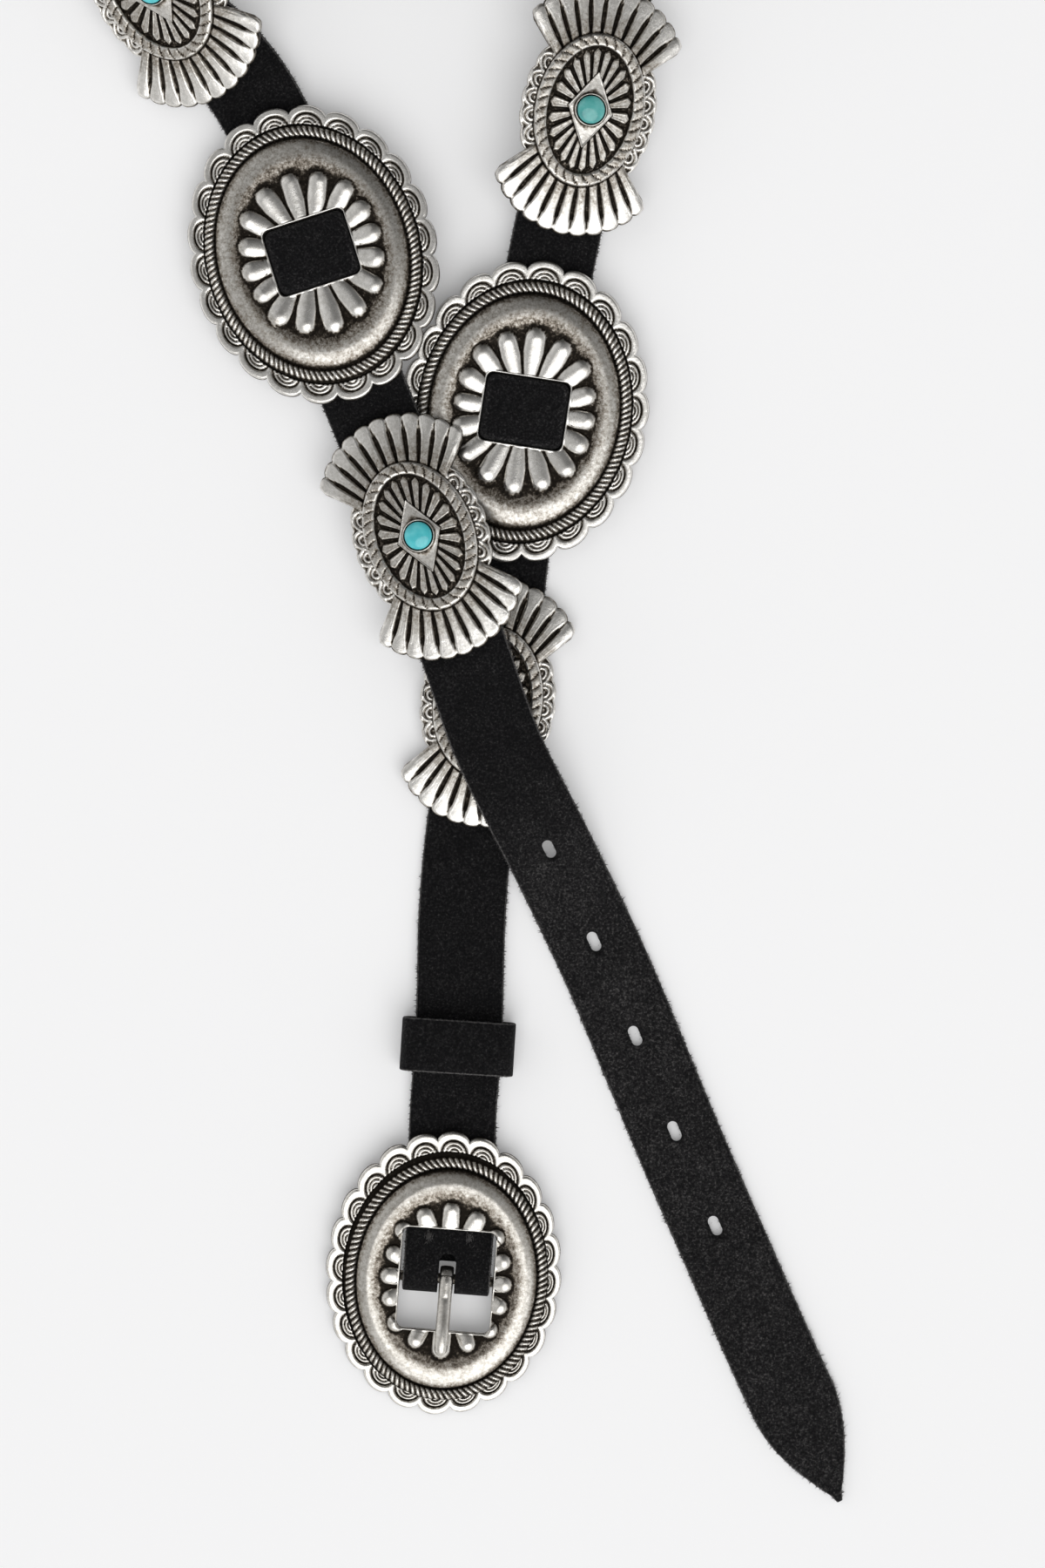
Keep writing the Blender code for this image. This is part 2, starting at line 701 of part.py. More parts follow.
def make_keeper():
    low = -STRAP_THICK / 2 - 2 * GAP
    high = STRAP_THICK / 2 + KEEPER_ROOM
    middle = (low + high) / 2
    inner_wide = KEEPER_WIDE - 2 * KEEPER_WALL
    inner = round_box_outline(inner_wide, high - low, 1.6, middle)
    outer = round_box_outline(KEEPER_WIDE, high - low + 2 * KEEPER_WALL, 1.6 + KEEPER_WALL, middle)
    keeper = extruded("keeper", [outer, inner], KEEPER_LONG, parts)
    keeper.data.materials.append(materials["suede"])
    place(keeper, place_matrix(STOP["keeper"], 0.0) @ on_edge(), root)


def make_buckle():
    axis = new_empty("bar_axis", bar_frame()[3], root, parts)
    buckle = window_plate(
        "buckle_frame", BUCKLE_WIDE, BUCKLE_LONG, BUCKLE_LOBES,
        BUCKLE_WINDOW_WIDE, BUCKLE_WINDOW_LONG, -1.0, 1.4, BAR_HIGH,
    )
    buckle.data.materials.append(materials["silver"])
    place(buckle, at(), axis)
    inner = BUCKLE_WINDOW_WIDE / 2 + 0.5
    post_wide = 0.8 * BAR_WIDE
    low, top = -BAR_WIDE / 2, DOME_HIGH - 0.6 * PLATE_WALL - BAR_HIGH
    for sign, side in ((1, "right"), (-1, "left")):
        post = block(f"buckle_post_{side}", (post_wide, 4.0, top - low), tools)
        place(post, at(x=sign * (inner + post_wide / 2), z=(low + top) / 2), axis)
        boolean(buckle, post, "UNION")
    bar = rod("buckle_bar", BAR_WIDE / 2, 2 * inner + post_wide, tools)
    place(bar, at(), axis)
    boolean(buckle, bar, "UNION")
    return axis


def make_prong(axis):
    """Eye on the bar, and a shank that rests on the frame's far edge."""
    half = PRONG_WIDE / 2
    eye = [(EYE_BORE, -half), (EYE_OUT, -half), (EYE_OUT, half), (EYE_BORE, half)]
    prong = turned("prong", eye, "X", True, 20, parts)
    prong.data.materials.append(materials["silver"])
    place(prong, at(), axis)
    rest = DOME_HIGH + 1.5 + GAP - BAR_HIGH
    stations = [
        (0.0, 1.5, 0.88 * EYE_OUT, 0.42),
        (0.0, 0.0, 0.99 * EYE_OUT, 0.48),
        (0.0, -0.14 * PRONG_REACH, 1.10 * EYE_OUT, 0.48),
        (0.0, -0.38 * PRONG_REACH, 0.5 * (1.2 * EYE_OUT + rest), 0.48),
        (0.0, -0.66 * PRONG_REACH, rest + 0.25 * PRONG_WIDE, 0.48),
        (0.0, -0.85 * PRONG_REACH, rest + 0.40 * PRONG_WIDE, 0.45),
        (0.0, -0.95 * PRONG_REACH, rest + 0.38 * PRONG_WIDE, 0.39),
        (0.0, -PRONG_REACH, rest + 0.36 * PRONG_WIDE, 0.20),
    ]
    shank = tube("prong_shank", [(x, y, z, share * PRONG_WIDE) for x, y, z, share in stations], tools)
    place(shank, at(), axis)
    boolean(prong, shank, "UNION")


# Build, then centre everything on the floor


def centre_on_floor(collections):
    """Move the root so that the shown meshes stand on the floor around the world's origin."""
    bpy.context.view_layer.update()
    corners = []
    for collection in collections:
        for item in collection.objects:
            if item.type == "MESH" and not item.name.startswith("strap_"):
                corners += [item.matrix_world @ vert.co for vert in item.data.vertices]
    low = [min(c[k] for c in corners) for k in range(3)]
    high = [max(c[k] for c in corners) for k in range(3)]
    root.location = (-(low[0] + high[0]) / 2, -(low[1] + high[1]) / 2, -low[2])


clear_scene()
parts = new_collection("concho_belt")
tools = new_collection("cutters")
materials = {name: new_material(name) for name in MATERIALS}
root = new_empty("belt_root", np.eye(4), None, parts)
make_strap()
make_keeper()
make_prong(make_buckle())
for node, kind, stop, proud in PLATES:
    make_plate(node, kind, place_matrix(STOP[stop], RIM_OVER + proud * PITCH))
centre_on_floor([parts, tools])
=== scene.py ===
# Looks of the concho belt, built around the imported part. Lengths are millimetres until a mesh is made.

import math

import bpy
import numpy as np
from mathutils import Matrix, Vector


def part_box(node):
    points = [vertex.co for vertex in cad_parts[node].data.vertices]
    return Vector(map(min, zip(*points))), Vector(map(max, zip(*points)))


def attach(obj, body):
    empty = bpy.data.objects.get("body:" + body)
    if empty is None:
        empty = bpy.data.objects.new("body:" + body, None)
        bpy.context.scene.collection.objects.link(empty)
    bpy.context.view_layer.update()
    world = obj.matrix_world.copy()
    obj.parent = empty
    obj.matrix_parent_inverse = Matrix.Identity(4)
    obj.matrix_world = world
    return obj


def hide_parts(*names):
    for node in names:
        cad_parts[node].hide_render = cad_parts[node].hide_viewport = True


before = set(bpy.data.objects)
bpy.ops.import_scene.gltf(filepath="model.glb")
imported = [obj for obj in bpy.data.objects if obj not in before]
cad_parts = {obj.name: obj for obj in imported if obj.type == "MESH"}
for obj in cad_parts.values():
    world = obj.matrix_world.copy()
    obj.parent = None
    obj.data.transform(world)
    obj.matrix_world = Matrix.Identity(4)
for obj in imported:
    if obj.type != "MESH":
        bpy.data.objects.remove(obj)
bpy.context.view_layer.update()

MM = 0.001

# Sizes, as in the part

STRAP_WIDTH = 25.4
STRAP_THICK = 2.4
GAP = 0.3
POINT_LONG = 33.0
FOLD_BACK = 26.0
HOLE_LONG = 6.1
HOLE_WIDE = 3.1
HOLE_PITCH = 30.0
HOLE_COUNT = 5
OVAL_LONG = 88.5
OVAL_WIDE = 72.0
OVAL_LOBES = 22
DOME_HIGH = 6.6
WINDOW_WIDE = 24.5
WINDOW_LONG = 19.8
WING_LONG = 73.0
WING_WIDE = 39.6
WING_HIGH = 4.2
KITE_LONG = 22.2
KITE_WIDE = 13.2
STONE_WIDE = 8.0
STONE_HIGH = 2.1
BEZEL_WALL = 0.4
BUCKLE_LONG = 83.5
BUCKLE_WIDE = 68.5
BUCKLE_LOBES = 24
BUCKLE_WINDOW_WIDE = STRAP_WIDTH + 1.6
BUCKLE_WINDOW_LONG = 29.5
BUCKLE_PITCH = 3.8
BAR_WIDE = 3.0
BAR_HIGH = 2.2
PRONG_WIDE = 4.0
PRONG_REACH = 21.3
KEEPER_LONG = 15.5
KEEPER_WALL = 1.4
KEEPER_SLACK = 2.4
KEEPER_WIDE = STRAP_WIDTH + 2 * (KEEPER_SLACK + KEEPER_WALL)
KEEPER_ROOM = 5.2
PLATE_WALL = 1.4
RIM_WALL = 1.0
BRIDGE_WALL = 1.2
BRIDGE_LONG = 4.5
BRIDGE_ROOM = 0.6

WING_SINK = 0.2
PRONG_ROOM = 0.45
SLOT_PAST_BAR = 7.6
SLOT_UNDER_BAR = 4.9
OVAL_POST_ROOM = 1.2
OVAL_POST_WIDE = 2.0
WING_POST_ROOM = 0.6
WING_POST_WIDE = 1.6

# Sizes that only the looks need: columns of a lobe, and the band's and trough's edges as shares
LOBE_COLUMNS = 22
PETALS = 16
BAND_EDGE = 0.768
TROUGH_EDGE = 0.858
THREAD_RUN = 12.1
THREAD_SIDE = 5.9

PITCH = OVAL_LONG
FLOOR = STRAP_THICK / 2
RIM_OVER = STRAP_THICK / 2 + GAP + 0.1
TABLE = WING_HIGH + 0.8
STONE_SEAT = TABLE + 0.2 + GAP
STONE_TOP = RIM_OVER + STONE_SEAT + STONE_HIGH
CROSSING = FLOOR + STONE_TOP + 2 * GAP + STRAP_THICK / 2
BAR_TOP = BAR_WIDE / 2 + GAP + STRAP_THICK / 2
BAR_WORLD = 0.49 * BUCKLE_LONG * math.sin(math.radians(BUCKLE_PITCH)) + BAR_HIGH

# Route of the strap seen from above, in plate pitches: label, x, y, height, outward lean in degrees
ROUTE = [
    ("bar", -0.2497, -1.6237, BAR_WORLD + BAR_TOP, 0.0),
    ("mouth", -0.2384, -1.4655, 2.3 * FLOOR + BAR_TOP, 0.0),
    ("fold_end", -0.2320, -1.2900, 3.0 * FLOOR + 2 * GAP, 0.0),
    ("lip", -0.2283, -1.0904, 2.0 * FLOOR, 0.0),
    ("keeper", -0.2124, -0.8610, FLOOR + KEEPER_WALL + 2 * GAP, 0.0),
    ("flat", -0.1932, -0.3446, FLOOR, 0.0),
    ("wing_a", -0.1141, 0.2689, FLOOR, 0.0),
    ("between_a", -0.0576, 0.7400, FLOOR, 0.0),
    ("oval_a", 0.0068, 1.2226, FLOOR + 0.33 * DOME_HIGH, 0.0),
    ("between_b", 0.1006, 1.7446, FLOOR + 0.64 * DOME_HIGH, 3.0),
    ("wing_b", 0.2023, 2.2056, FLOOR + 0.94 * DOME_HIGH, 10.0),
    ("rise", 0.2847, 2.5650, FLOOR + 1.52 * DOME_HIGH, 22.0),
    ("oval_b", 0.3132, 3.1912, 0.44 * OVAL_WIDE, 58.0),
    ("wing_c", -0.2977, 3.9231, 0.47 * OVAL_WIDE, 86.0),
    ("oval_c", -1.1770, 3.5841, 0.44 * OVAL_WIDE, 58.0),
    ("wing_d", -1.1605, 2.6328, FLOOR + 1.21 * DOME_HIGH, 25.0),
    ("between_c", -0.8836, 2.2599, FLOOR + 0.41 * DOME_HIGH, 10.0),
    ("oval_d", -0.6814, 1.7322, FLOOR + 0.73 * DOME_HIGH, 4.0),
    ("between_d", -0.4859, 1.1989, FLOOR + 1.06 * DOME_HIGH, 6.0),
    ("wing_e", -0.3254, 0.8079, FLOOR + 1.43 * DOME_HIGH, 8.0),
    ("over_a", -0.1593, 0.3412, CROSSING, 3.0),
    ("over_b", -0.0768, 0.1141, CROSSING - 0.25 * STRAP_THICK, 1.0),
    ("down_a", 0.0373, -0.1153, 0.68 * CROSSING, 0.0),
    ("down_b", 0.1525, -0.3446, 0.27 * CROSSING, 0.0),
    ("tail_a", 0.2610, -0.5740, FLOOR, 0.0),
    ("tail_b", 0.4079, -0.9186, FLOOR, 0.0),
    ("tail_c", 0.5514, -1.2633, FLOOR, 0.0),
    ("tail_d", 0.7017, -1.6068, FLOOR, 0.0),
    ("tail_e", 0.8554, -1.9514, FLOOR, 0.0),
    ("tip", 1.0452, -2.3593, FLOOR, 0.0),
]

# Plates in order along the strap: letter, kind, stand-off as a share of the pitch
PLATES = [
    ("a", "wing", 0.0),
    ("a", "oval", 0.0045),
    ("b", "wing", 0.050),
    ("b", "oval", 0.062),
    ("c", "wing", 0.027),
    ("c", "oval", 0.051),
    ("d", "wing", 0.078),
    ("d", "oval", 0.0136),
    ("e", "wing", 0.008),
]


# Route


def natural_spline(knots, values, at):
    n = len(knots)
    h = np.diff(knots)
    system = np.zeros((n, n))
    right = np.zeros((n, values.shape[1]))
    system[0, 0] = 1.0
    system[-1, -1] = 1.0
    for i in range(1, n - 1):
        system[i, i - 1] = h[i - 1]
        system[i, i] = 2 * (h[i - 1] + h[i])
        system[i, i + 1] = h[i]
        right[i] = 6 * ((values[i + 1] - values[i]) / h[i] - (values[i] - values[i - 1]) / h[i - 1])
    bend = np.linalg.solve(system, right)
    i = np.clip(np.searchsorted(knots, at) - 1, 0, n - 2)
    a = ((knots[i + 1] - at) / h[i])[:, None]
    b = ((at - knots[i]) / h[i])[:, None]
    hh = (h[i] ** 2 / 6)[:, None]
    return a * values[i] + b * values[i + 1] + ((a ** 3 - a) * bend[i] + (b ** 3 - b) * bend[i + 1]) * hh


def steady_curve(knots, values, at):
    """Smooth curve through values that doesn't overshoot them."""
    knots = np.asarray(knots, dtype=float)
    values = np.asarray(values, dtype=float)
    h = np.diff(knots)
    d = np.diff(values) / h
    slope = np.zeros(len(knots))
    for i in range(1, len(knots) - 1):
        if d[i - 1] * d[i] > 0:
            w1 = 2 * h[i] + h[i - 1]
            w2 = h[i] + 2 * h[i - 1]
            slope[i] = (w1 + w2) / (w1 / d[i - 1] + w2 / d[i])
    at = np.clip(at, knots[0], knots[-1])
    i = np.clip(np.searchsorted(knots, at) - 1, 0, len(knots) - 2)
    t = (at - knots[i]) / h[i]
    return (
        (2 * t ** 3 - 3 * t ** 2 + 1) * values[i]
        + (t ** 3 - 2 * t ** 2 + t) * h[i] * slope[i]
        + (-2 * t ** 3 + 3 * t ** 2) * values[i + 1]
        + (t ** 3 - t ** 2) * h[i] * slope[i + 1]
    )


plan = np.array([[row[1], row[2]] for row in ROUTE]) * PITCH
chord = np.concatenate([[0.0], np.cumsum(np.linalg.norm(np.diff(plan, axis=0), axis=1))])
fine = np.linspace(0.0, chord[-1], 6001)
fine_plan = natural_spline(chord, plan, fine)
fine_run = np.concatenate([[0.0], np.cumsum(np.linalg.norm(np.diff(fine_plan, axis=0), axis=1))])
stop_run = np.interp(chord, fine, fine_run)
STOP = {row[0]: stop_run[i] for i, row in enumerate(ROUTE)}
STRAP_RUN = fine_run[-1]
HEIGHTS = np.array([row[3] for row in ROUTE])
LEANS = np.array([row[4] for row in ROUTE])


def base_point(s):
    s = np.atleast_1d(np.asarray(s, dtype=float))
    x = np.interp(s, fine_run, fine_plan[:, 0])
    y = np.interp(s, fine_run, fine_plan[:, 1])
    return np.stack([x, y, steady_curve(stop_run, HEIGHTS, s)], axis=1)


def strap_frame(s):
    """Point, side, travel and face directions of the strap's own line at run s."""
    step = 0.5
    here = base_point(s)[0]
    travel = base_point(min(s + step, STRAP_RUN))[0] - base_point(max(s - step, 0.0))[0]
    travel /= np.linalg.norm(travel)
    out = np.array([travel[1], -travel[0], 0.0])
    out /= np.linalg.norm(out)
    up = np.cross(out, travel)
    lean = math.radians(steady_curve(stop_run, LEANS, np.array([s]))[0])
    face = math.cos(lean) * up + math.sin(lean) * out
    return here, np.cross(travel, face), travel, face


def seat_lift(kind, proud):
    if kind == "oval":
        return BRIDGE_WALL + GAP + STRAP_THICK / 2 + RIM_OVER + proud * PITCH
    return WING_SINK + RIM_OVER + proud * PITCH


def strap_lift(s):
    total = 0.0
    for letter, kind, proud in PLATES:
        reach = 0.475 * OVAL_LONG if kind == "oval" else 0.49 * WING_LONG
        d = abs(s - STOP[f"{kind}_{letter}"])
        if d < reach:
            total += seat_lift(kind, proud) * math.cos(math.pi * d / (2 * reach)) ** 2
    return total


def place_matrix(s, lift):
    here, side, travel, face = strap_frame(s)
    m = np.eye(4)
    m[:3, 0] = side
    m[:3, 1] = travel
    m[:3, 2] = face
    m[:3, 3] = here + face * lift
    return m


def buckle_matrix():
    here, _, travel, _ = strap_frame(0.0)
    side = np.array([travel[1], -travel[0], 0.0])
    side /= np.linalg.norm(side)
    flat = np.array([-side[1], side[0], 0.0])
    p = math.radians(BUCKLE_PITCH)
    m = np.eye(4)
    m[:3, 0] = side
    m[:3, 1] = flat * math.cos(p) + np.array([0.0, 0.0, math.sin(p)])
    m[:3, 2] = np.cross(m[:3, 0], m[:3, 1])
    bar = here - np.array([0.0, 0.0, BAR_TOP])
    m[:3, 3] = bar - m[:3, 2] * BAR_HIGH
    return m, bar, side, flat


def moved(points, m):
    return np.asarray(points, dtype=float) @ m[:3, :3].T + m[:3, 3]


def xyz(x, y, z):
    """Points from coordinates that are spread to one shape."""
    return np.stack(np.broadcast_arrays(x, y, z), axis=-1)


def turns(count):
    """Even angles once round a ring."""
    return 2 * math.pi * np.arange(count) / count


def add_object(name, data):
    item = bpy.data.objects.new(name, data)
    bpy.context.scene.collection.objects.link(item)
    return item


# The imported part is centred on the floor: its first stone, which lies level, gives the same shift here
stone_low, stone_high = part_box("stone_wing_a")
stone_at = place_matrix(STOP["wing_a"], RIM_OVER)
SHIFT = (np.array(stone_low) + np.array(stone_high)) / 2 / MM
SHIFT -= moved([(0.0, 0.0, STONE_SEAT + STONE_HIGH / 2)], stone_at)[0]


# Grids: rings of points that become quads, with a number at each point for the material


class Shell:
    """Meshes gathered into one piece, with a value at each point: patina and painted shade on metal, wear and
    painted sheen on suede.
    """

    def __init__(self):
        self.points = []
        self.values = []
        self.quads = []
        self.tris = []
        self.count = 0

    def grid(self, points, values, around=True, along=False, flip=False):
        rows, cols = points.shape[:2]
        index = self.count + np.arange(rows * cols).reshape(rows, cols)
        if around:
            index = np.concatenate([index, index[:, :1]], axis=1)
        if along:
            index = np.concatenate([index, index[:1]], axis=0)
        quads = np.stack([index[:-1, :-1], index[:-1, 1:], index[1:, 1:], index[1:, :-1]], axis=-1)
        if flip:
            quads = quads[..., ::-1]
        self.quads.append(quads.reshape(-1, 4))
        self.points.append(points.reshape(-1, 3))
        self.values.append(np.broadcast_to(values, (rows, cols)).reshape(-1))
        self.count += rows * cols
        return index

    def cap(self, ring, centre, value, flip=False):
        """Close a ring of point numbers with a fan about one new point."""
        self.points.append(np.array([centre]))
        self.values.append(np.array([value]))
        hub = self.count
        self.count += 1
        tris = np.stack([ring[:-1], ring[1:], np.full(len(ring) - 1, hub)], axis=-1)
        self.tris.append(tris[:, ::-1] if flip else tris)

    def solid(self, rows, values, ends, flip=False):
        """Grid closed at both ends, with the two caps' values in ends."""
        rows = np.asarray(rows)
        index = self.grid(rows, values, flip=flip)
        self.cap(index[0], rows[0].mean(axis=0), ends[0], flip=not flip)
        self.cap(index[-1], rows[-1].mean(axis=0), ends[1], flip=flip)

    def spikes(self, base, aim, sideways, length, width, value):
        """Loose fibres: each is a closed three-sided sliver."""
        aim = aim / np.linalg.norm(aim, axis=1, keepdims=True)
        first = np.cross(aim, sideways)
        first /= np.linalg.norm(first, axis=1, keepdims=True)
        second = np.cross(aim, first)
        corners = [
            base + width / 2 * (first * math.cos(t) + second * math.sin(t))
            for t in (0.0, 2.0944, 4.1888)
        ]
        corners = np.stack(corners + [base + aim * length], axis=1)
        faces = np.array([(0, 2, 1), (0, 1, 3), (1, 2, 3), (2, 0, 3)])
        index = self.count + 4 * np.arange(len(base))[:, None, None] + faces
        self.tris.append(index.reshape(-1, 3))
        corners[..., 2] = np.maximum(corners[..., 2], 0.02)
        self.points.append(corners.reshape(-1, 3))
        self.values.append(np.full(4 * len(base), value))
        self.count += 4 * len(base)

    def move(self, m):
        self.points = [moved(p, m) for p in self.points]

    def build(self, name, material, value_name="tarnish_and_shade"):
        points = (np.concatenate(self.points) + SHIFT) * MM
        quads = np.concatenate(self.quads) if self.quads else np.zeros((0, 4), dtype=int)
        tris = np.concatenate(self.tris) if self.tris else np.zeros((0, 3), dtype=int)
        mesh = bpy.data.meshes.new(name)
        mesh.vertices.add(len(points))
        mesh.vertices.foreach_set("co", points.ravel())
        loops = np.concatenate([quads.ravel(), tris.ravel()])
        mesh.loops.add(len(loops))
        mesh.loops.foreach_set("vertex_index", loops)
        sizes = np.concatenate([np.full(len(quads), 4), np.full(len(tris), 3)])
        starts = np.concatenate([[0], np.cumsum(sizes)[:-1]])
        mesh.polygons.add(len(sizes))
        mesh.polygons.foreach_set("loop_start", starts)
        mesh.polygons.foreach_set("loop_total", sizes)
        mesh.polygons.foreach_set("use_smooth", np.ones(len(sizes), dtype=bool))
        mesh.update(calc_edges=True)
        mesh.validate()
        layer = mesh.attributes.new(value_name, "FLOAT", "POINT")
        layer.data.foreach_set("value", np.concatenate(self.values).astype(np.float32))
        item = add_object(name, mesh)
        item.data.materials.append(material)
        return item


def smooth(low, high, x):
    t = np.clip((x - low) / (high - low), 0.0, 1.0)
    return t * t * (3 - 2 * t)


def dome(x):
    """Half-round profile: 1 in the middle, 0 at and past x = 1."""
    return np.sqrt(np.clip(1 - x * x, 0.0, 1.0))


def blurred(field, rows, cols):
    """Gaussian blur of a grid, wrapped around the ring and clamped across it."""
    out = field
    for axis, width in ((0, rows), (1, cols)):
        if width <= 0:
            continue
        reach = int(3 * width)
        weights = np.exp(-0.5 * (np.arange(-reach, reach + 1) / width) ** 2)
        weights /= weights.sum()
        pad = [(0, 0), (0, 0)]
        pad[axis] = (reach, reach)
        wide = np.pad(out, pad, mode="wrap" if axis == 1 else "edge")
        total = np.zeros_like(out)
        for k, w in enumerate(weights):
            total += w * (wide[k:k + out.shape[0]] if axis == 0 else wide[:, k:k + out.shape[1]])
        out = total
    return out


def tarnish_of(height, rows, cols, low=0.02, high=0.42):
    """Dark where the casting is lower than what is around it."""
    near = blurred(height, rows, cols) - height
    wide = blurred(height, 3 * rows, 3 * cols) - height
    return smooth(low, high, 0.7 * near + 0.5 * wide)


def window_radius(sin, cos, wide, long, corner):
    """Distance from the middle of a rounded rectangle to its edge in each direction."""
    low = np.zeros_like(sin)
    high = np.full_like(sin, wide + long)
    for _ in range(40):
        mid = (low + high) / 2
        qx = np.maximum(np.abs(sin * mid) - (wide / 2 - corner), 0.0)
        qy = np.maximum(np.abs(cos * mid) - (long / 2 - corner), 0.0)
        inside = np.hypot(qx, qy) < corner
        low = np.where(inside, mid, low)
        high = np.where(inside, high, mid)
    return low


def wavering(angle, seed, size):
    """Slow hand-made unevenness round a ring."""
    draw = np.random.default_rng(seed)
    total = np.zeros_like(angle)
    for k in range(2, 9):
        total += draw.normal() / k * np.sin(k * angle + draw.uniform(0, 6.28))
    return size * total


def even_angles(across, along, count):
    """Angles that split an ellipse into equal lengths of its edge."""
    angle = np.linspace(0, 2 * math.pi, 2881)
    steps = np.hypot(np.diff(across * np.sin(angle)), np.diff(along * np.cos(angle)))
    run = np.concatenate([[0.0], np.cumsum(steps)])
    return np.interp(np.arange(count) / count * run[-1], run, angle)


# Rings on an ellipse


def turn_share(count, steps, lean, spread, seed):
    """Distance from the middle of its turn, 0 to 1, at each point of a ring of leaning turns."""
    jitter = np.repeat(np.random.default_rng(seed).normal(0, spread, count), steps)
    phase = np.arange(count * steps) / steps + lean + blurred(jitter[None, :], 0, steps)[0]
    return np.abs((phase % 1.0) - 0.5) * 2


def lay_ring(shell, across, along, out, z, base, dark):
    """Rows at distances out from the line of an ellipse, closed underneath."""
    angle = even_angles(across, along, z.shape[1])
    norm = np.hypot(np.sin(angle) / across, np.cos(angle) / along)
    x = across * np.sin(angle) + np.sin(angle) / across / norm * out
    y = along * np.cos(angle) + np.cos(angle) / along / norm * out
    floor = xyz(x[::-1], y[::-1], base - 0.4)[::len(z) - 1]
    shell.grid(np.concatenate([xyz(x, y, z), floor]), np.concatenate([dark, dark[:2]]), along=True)


def add_rope(shell, across, along, half_wide, base, high, twists, slant, mark, seed):
    """Twisted ring on an ellipse. mark is the share of each turn that its groove takes."""
    v = -np.cos(np.linspace(0, math.pi, 9))[:, None]
    t = turn_share(twists, 8, slant * v, 0.07, seed)
    groove = mark * (1 + 0.30 * v)
    strand = 1 - 0.45 * smooth(1 - groove, 1.0, t)
    z = base + high * dome(v) ** 0.85 * strand
    out = half_wide * v * (0.90 + 0.10 * strand)
    dark = smooth(1 - groove, 1 - 0.25 * groove, t) * 0.8 + smooth(0.70, 1.0, np.abs(v)) * 0.8
    lay_ring(shell, across, along, out, z, base, np.clip(dark, 0, 1))


def add_band(shell, across, along, half_wide, base, high, nicks, slant, seed):
    """Flat ring with low edges on an ellipse, and slanted nicks cut across it."""
    v = np.array([-1.0, -0.97, -0.88, -0.72, -0.45, -0.15, 0.15, 0.45, 0.72, 0.88, 0.97, 1.0])[:, None]
    t = turn_share(nicks, 12, slant * v + 0.12 * v ** 2, 0.09, seed)
    nick = smooth(0.80, 0.94, t) * smooth(0.92, 0.62, np.abs(v))
    level = (1 - np.abs(v) ** 6) ** 0.6 + 0.10 * np.exp(-(((np.abs(v) - 0.78) / 0.12) ** 2))
    z = base + high * level - 0.32 * nick
    dark = np.maximum(0.95 * nick, 0.9 * smooth(0.93, 1.0, np.abs(v)))
    dark = np.maximum(dark, 0.26 * smooth(0.8, 0.5, np.abs(v)))
    lay_ring(shell, across, along, half_wide * v, z, base, dark)


# Oval plate and buckle frame


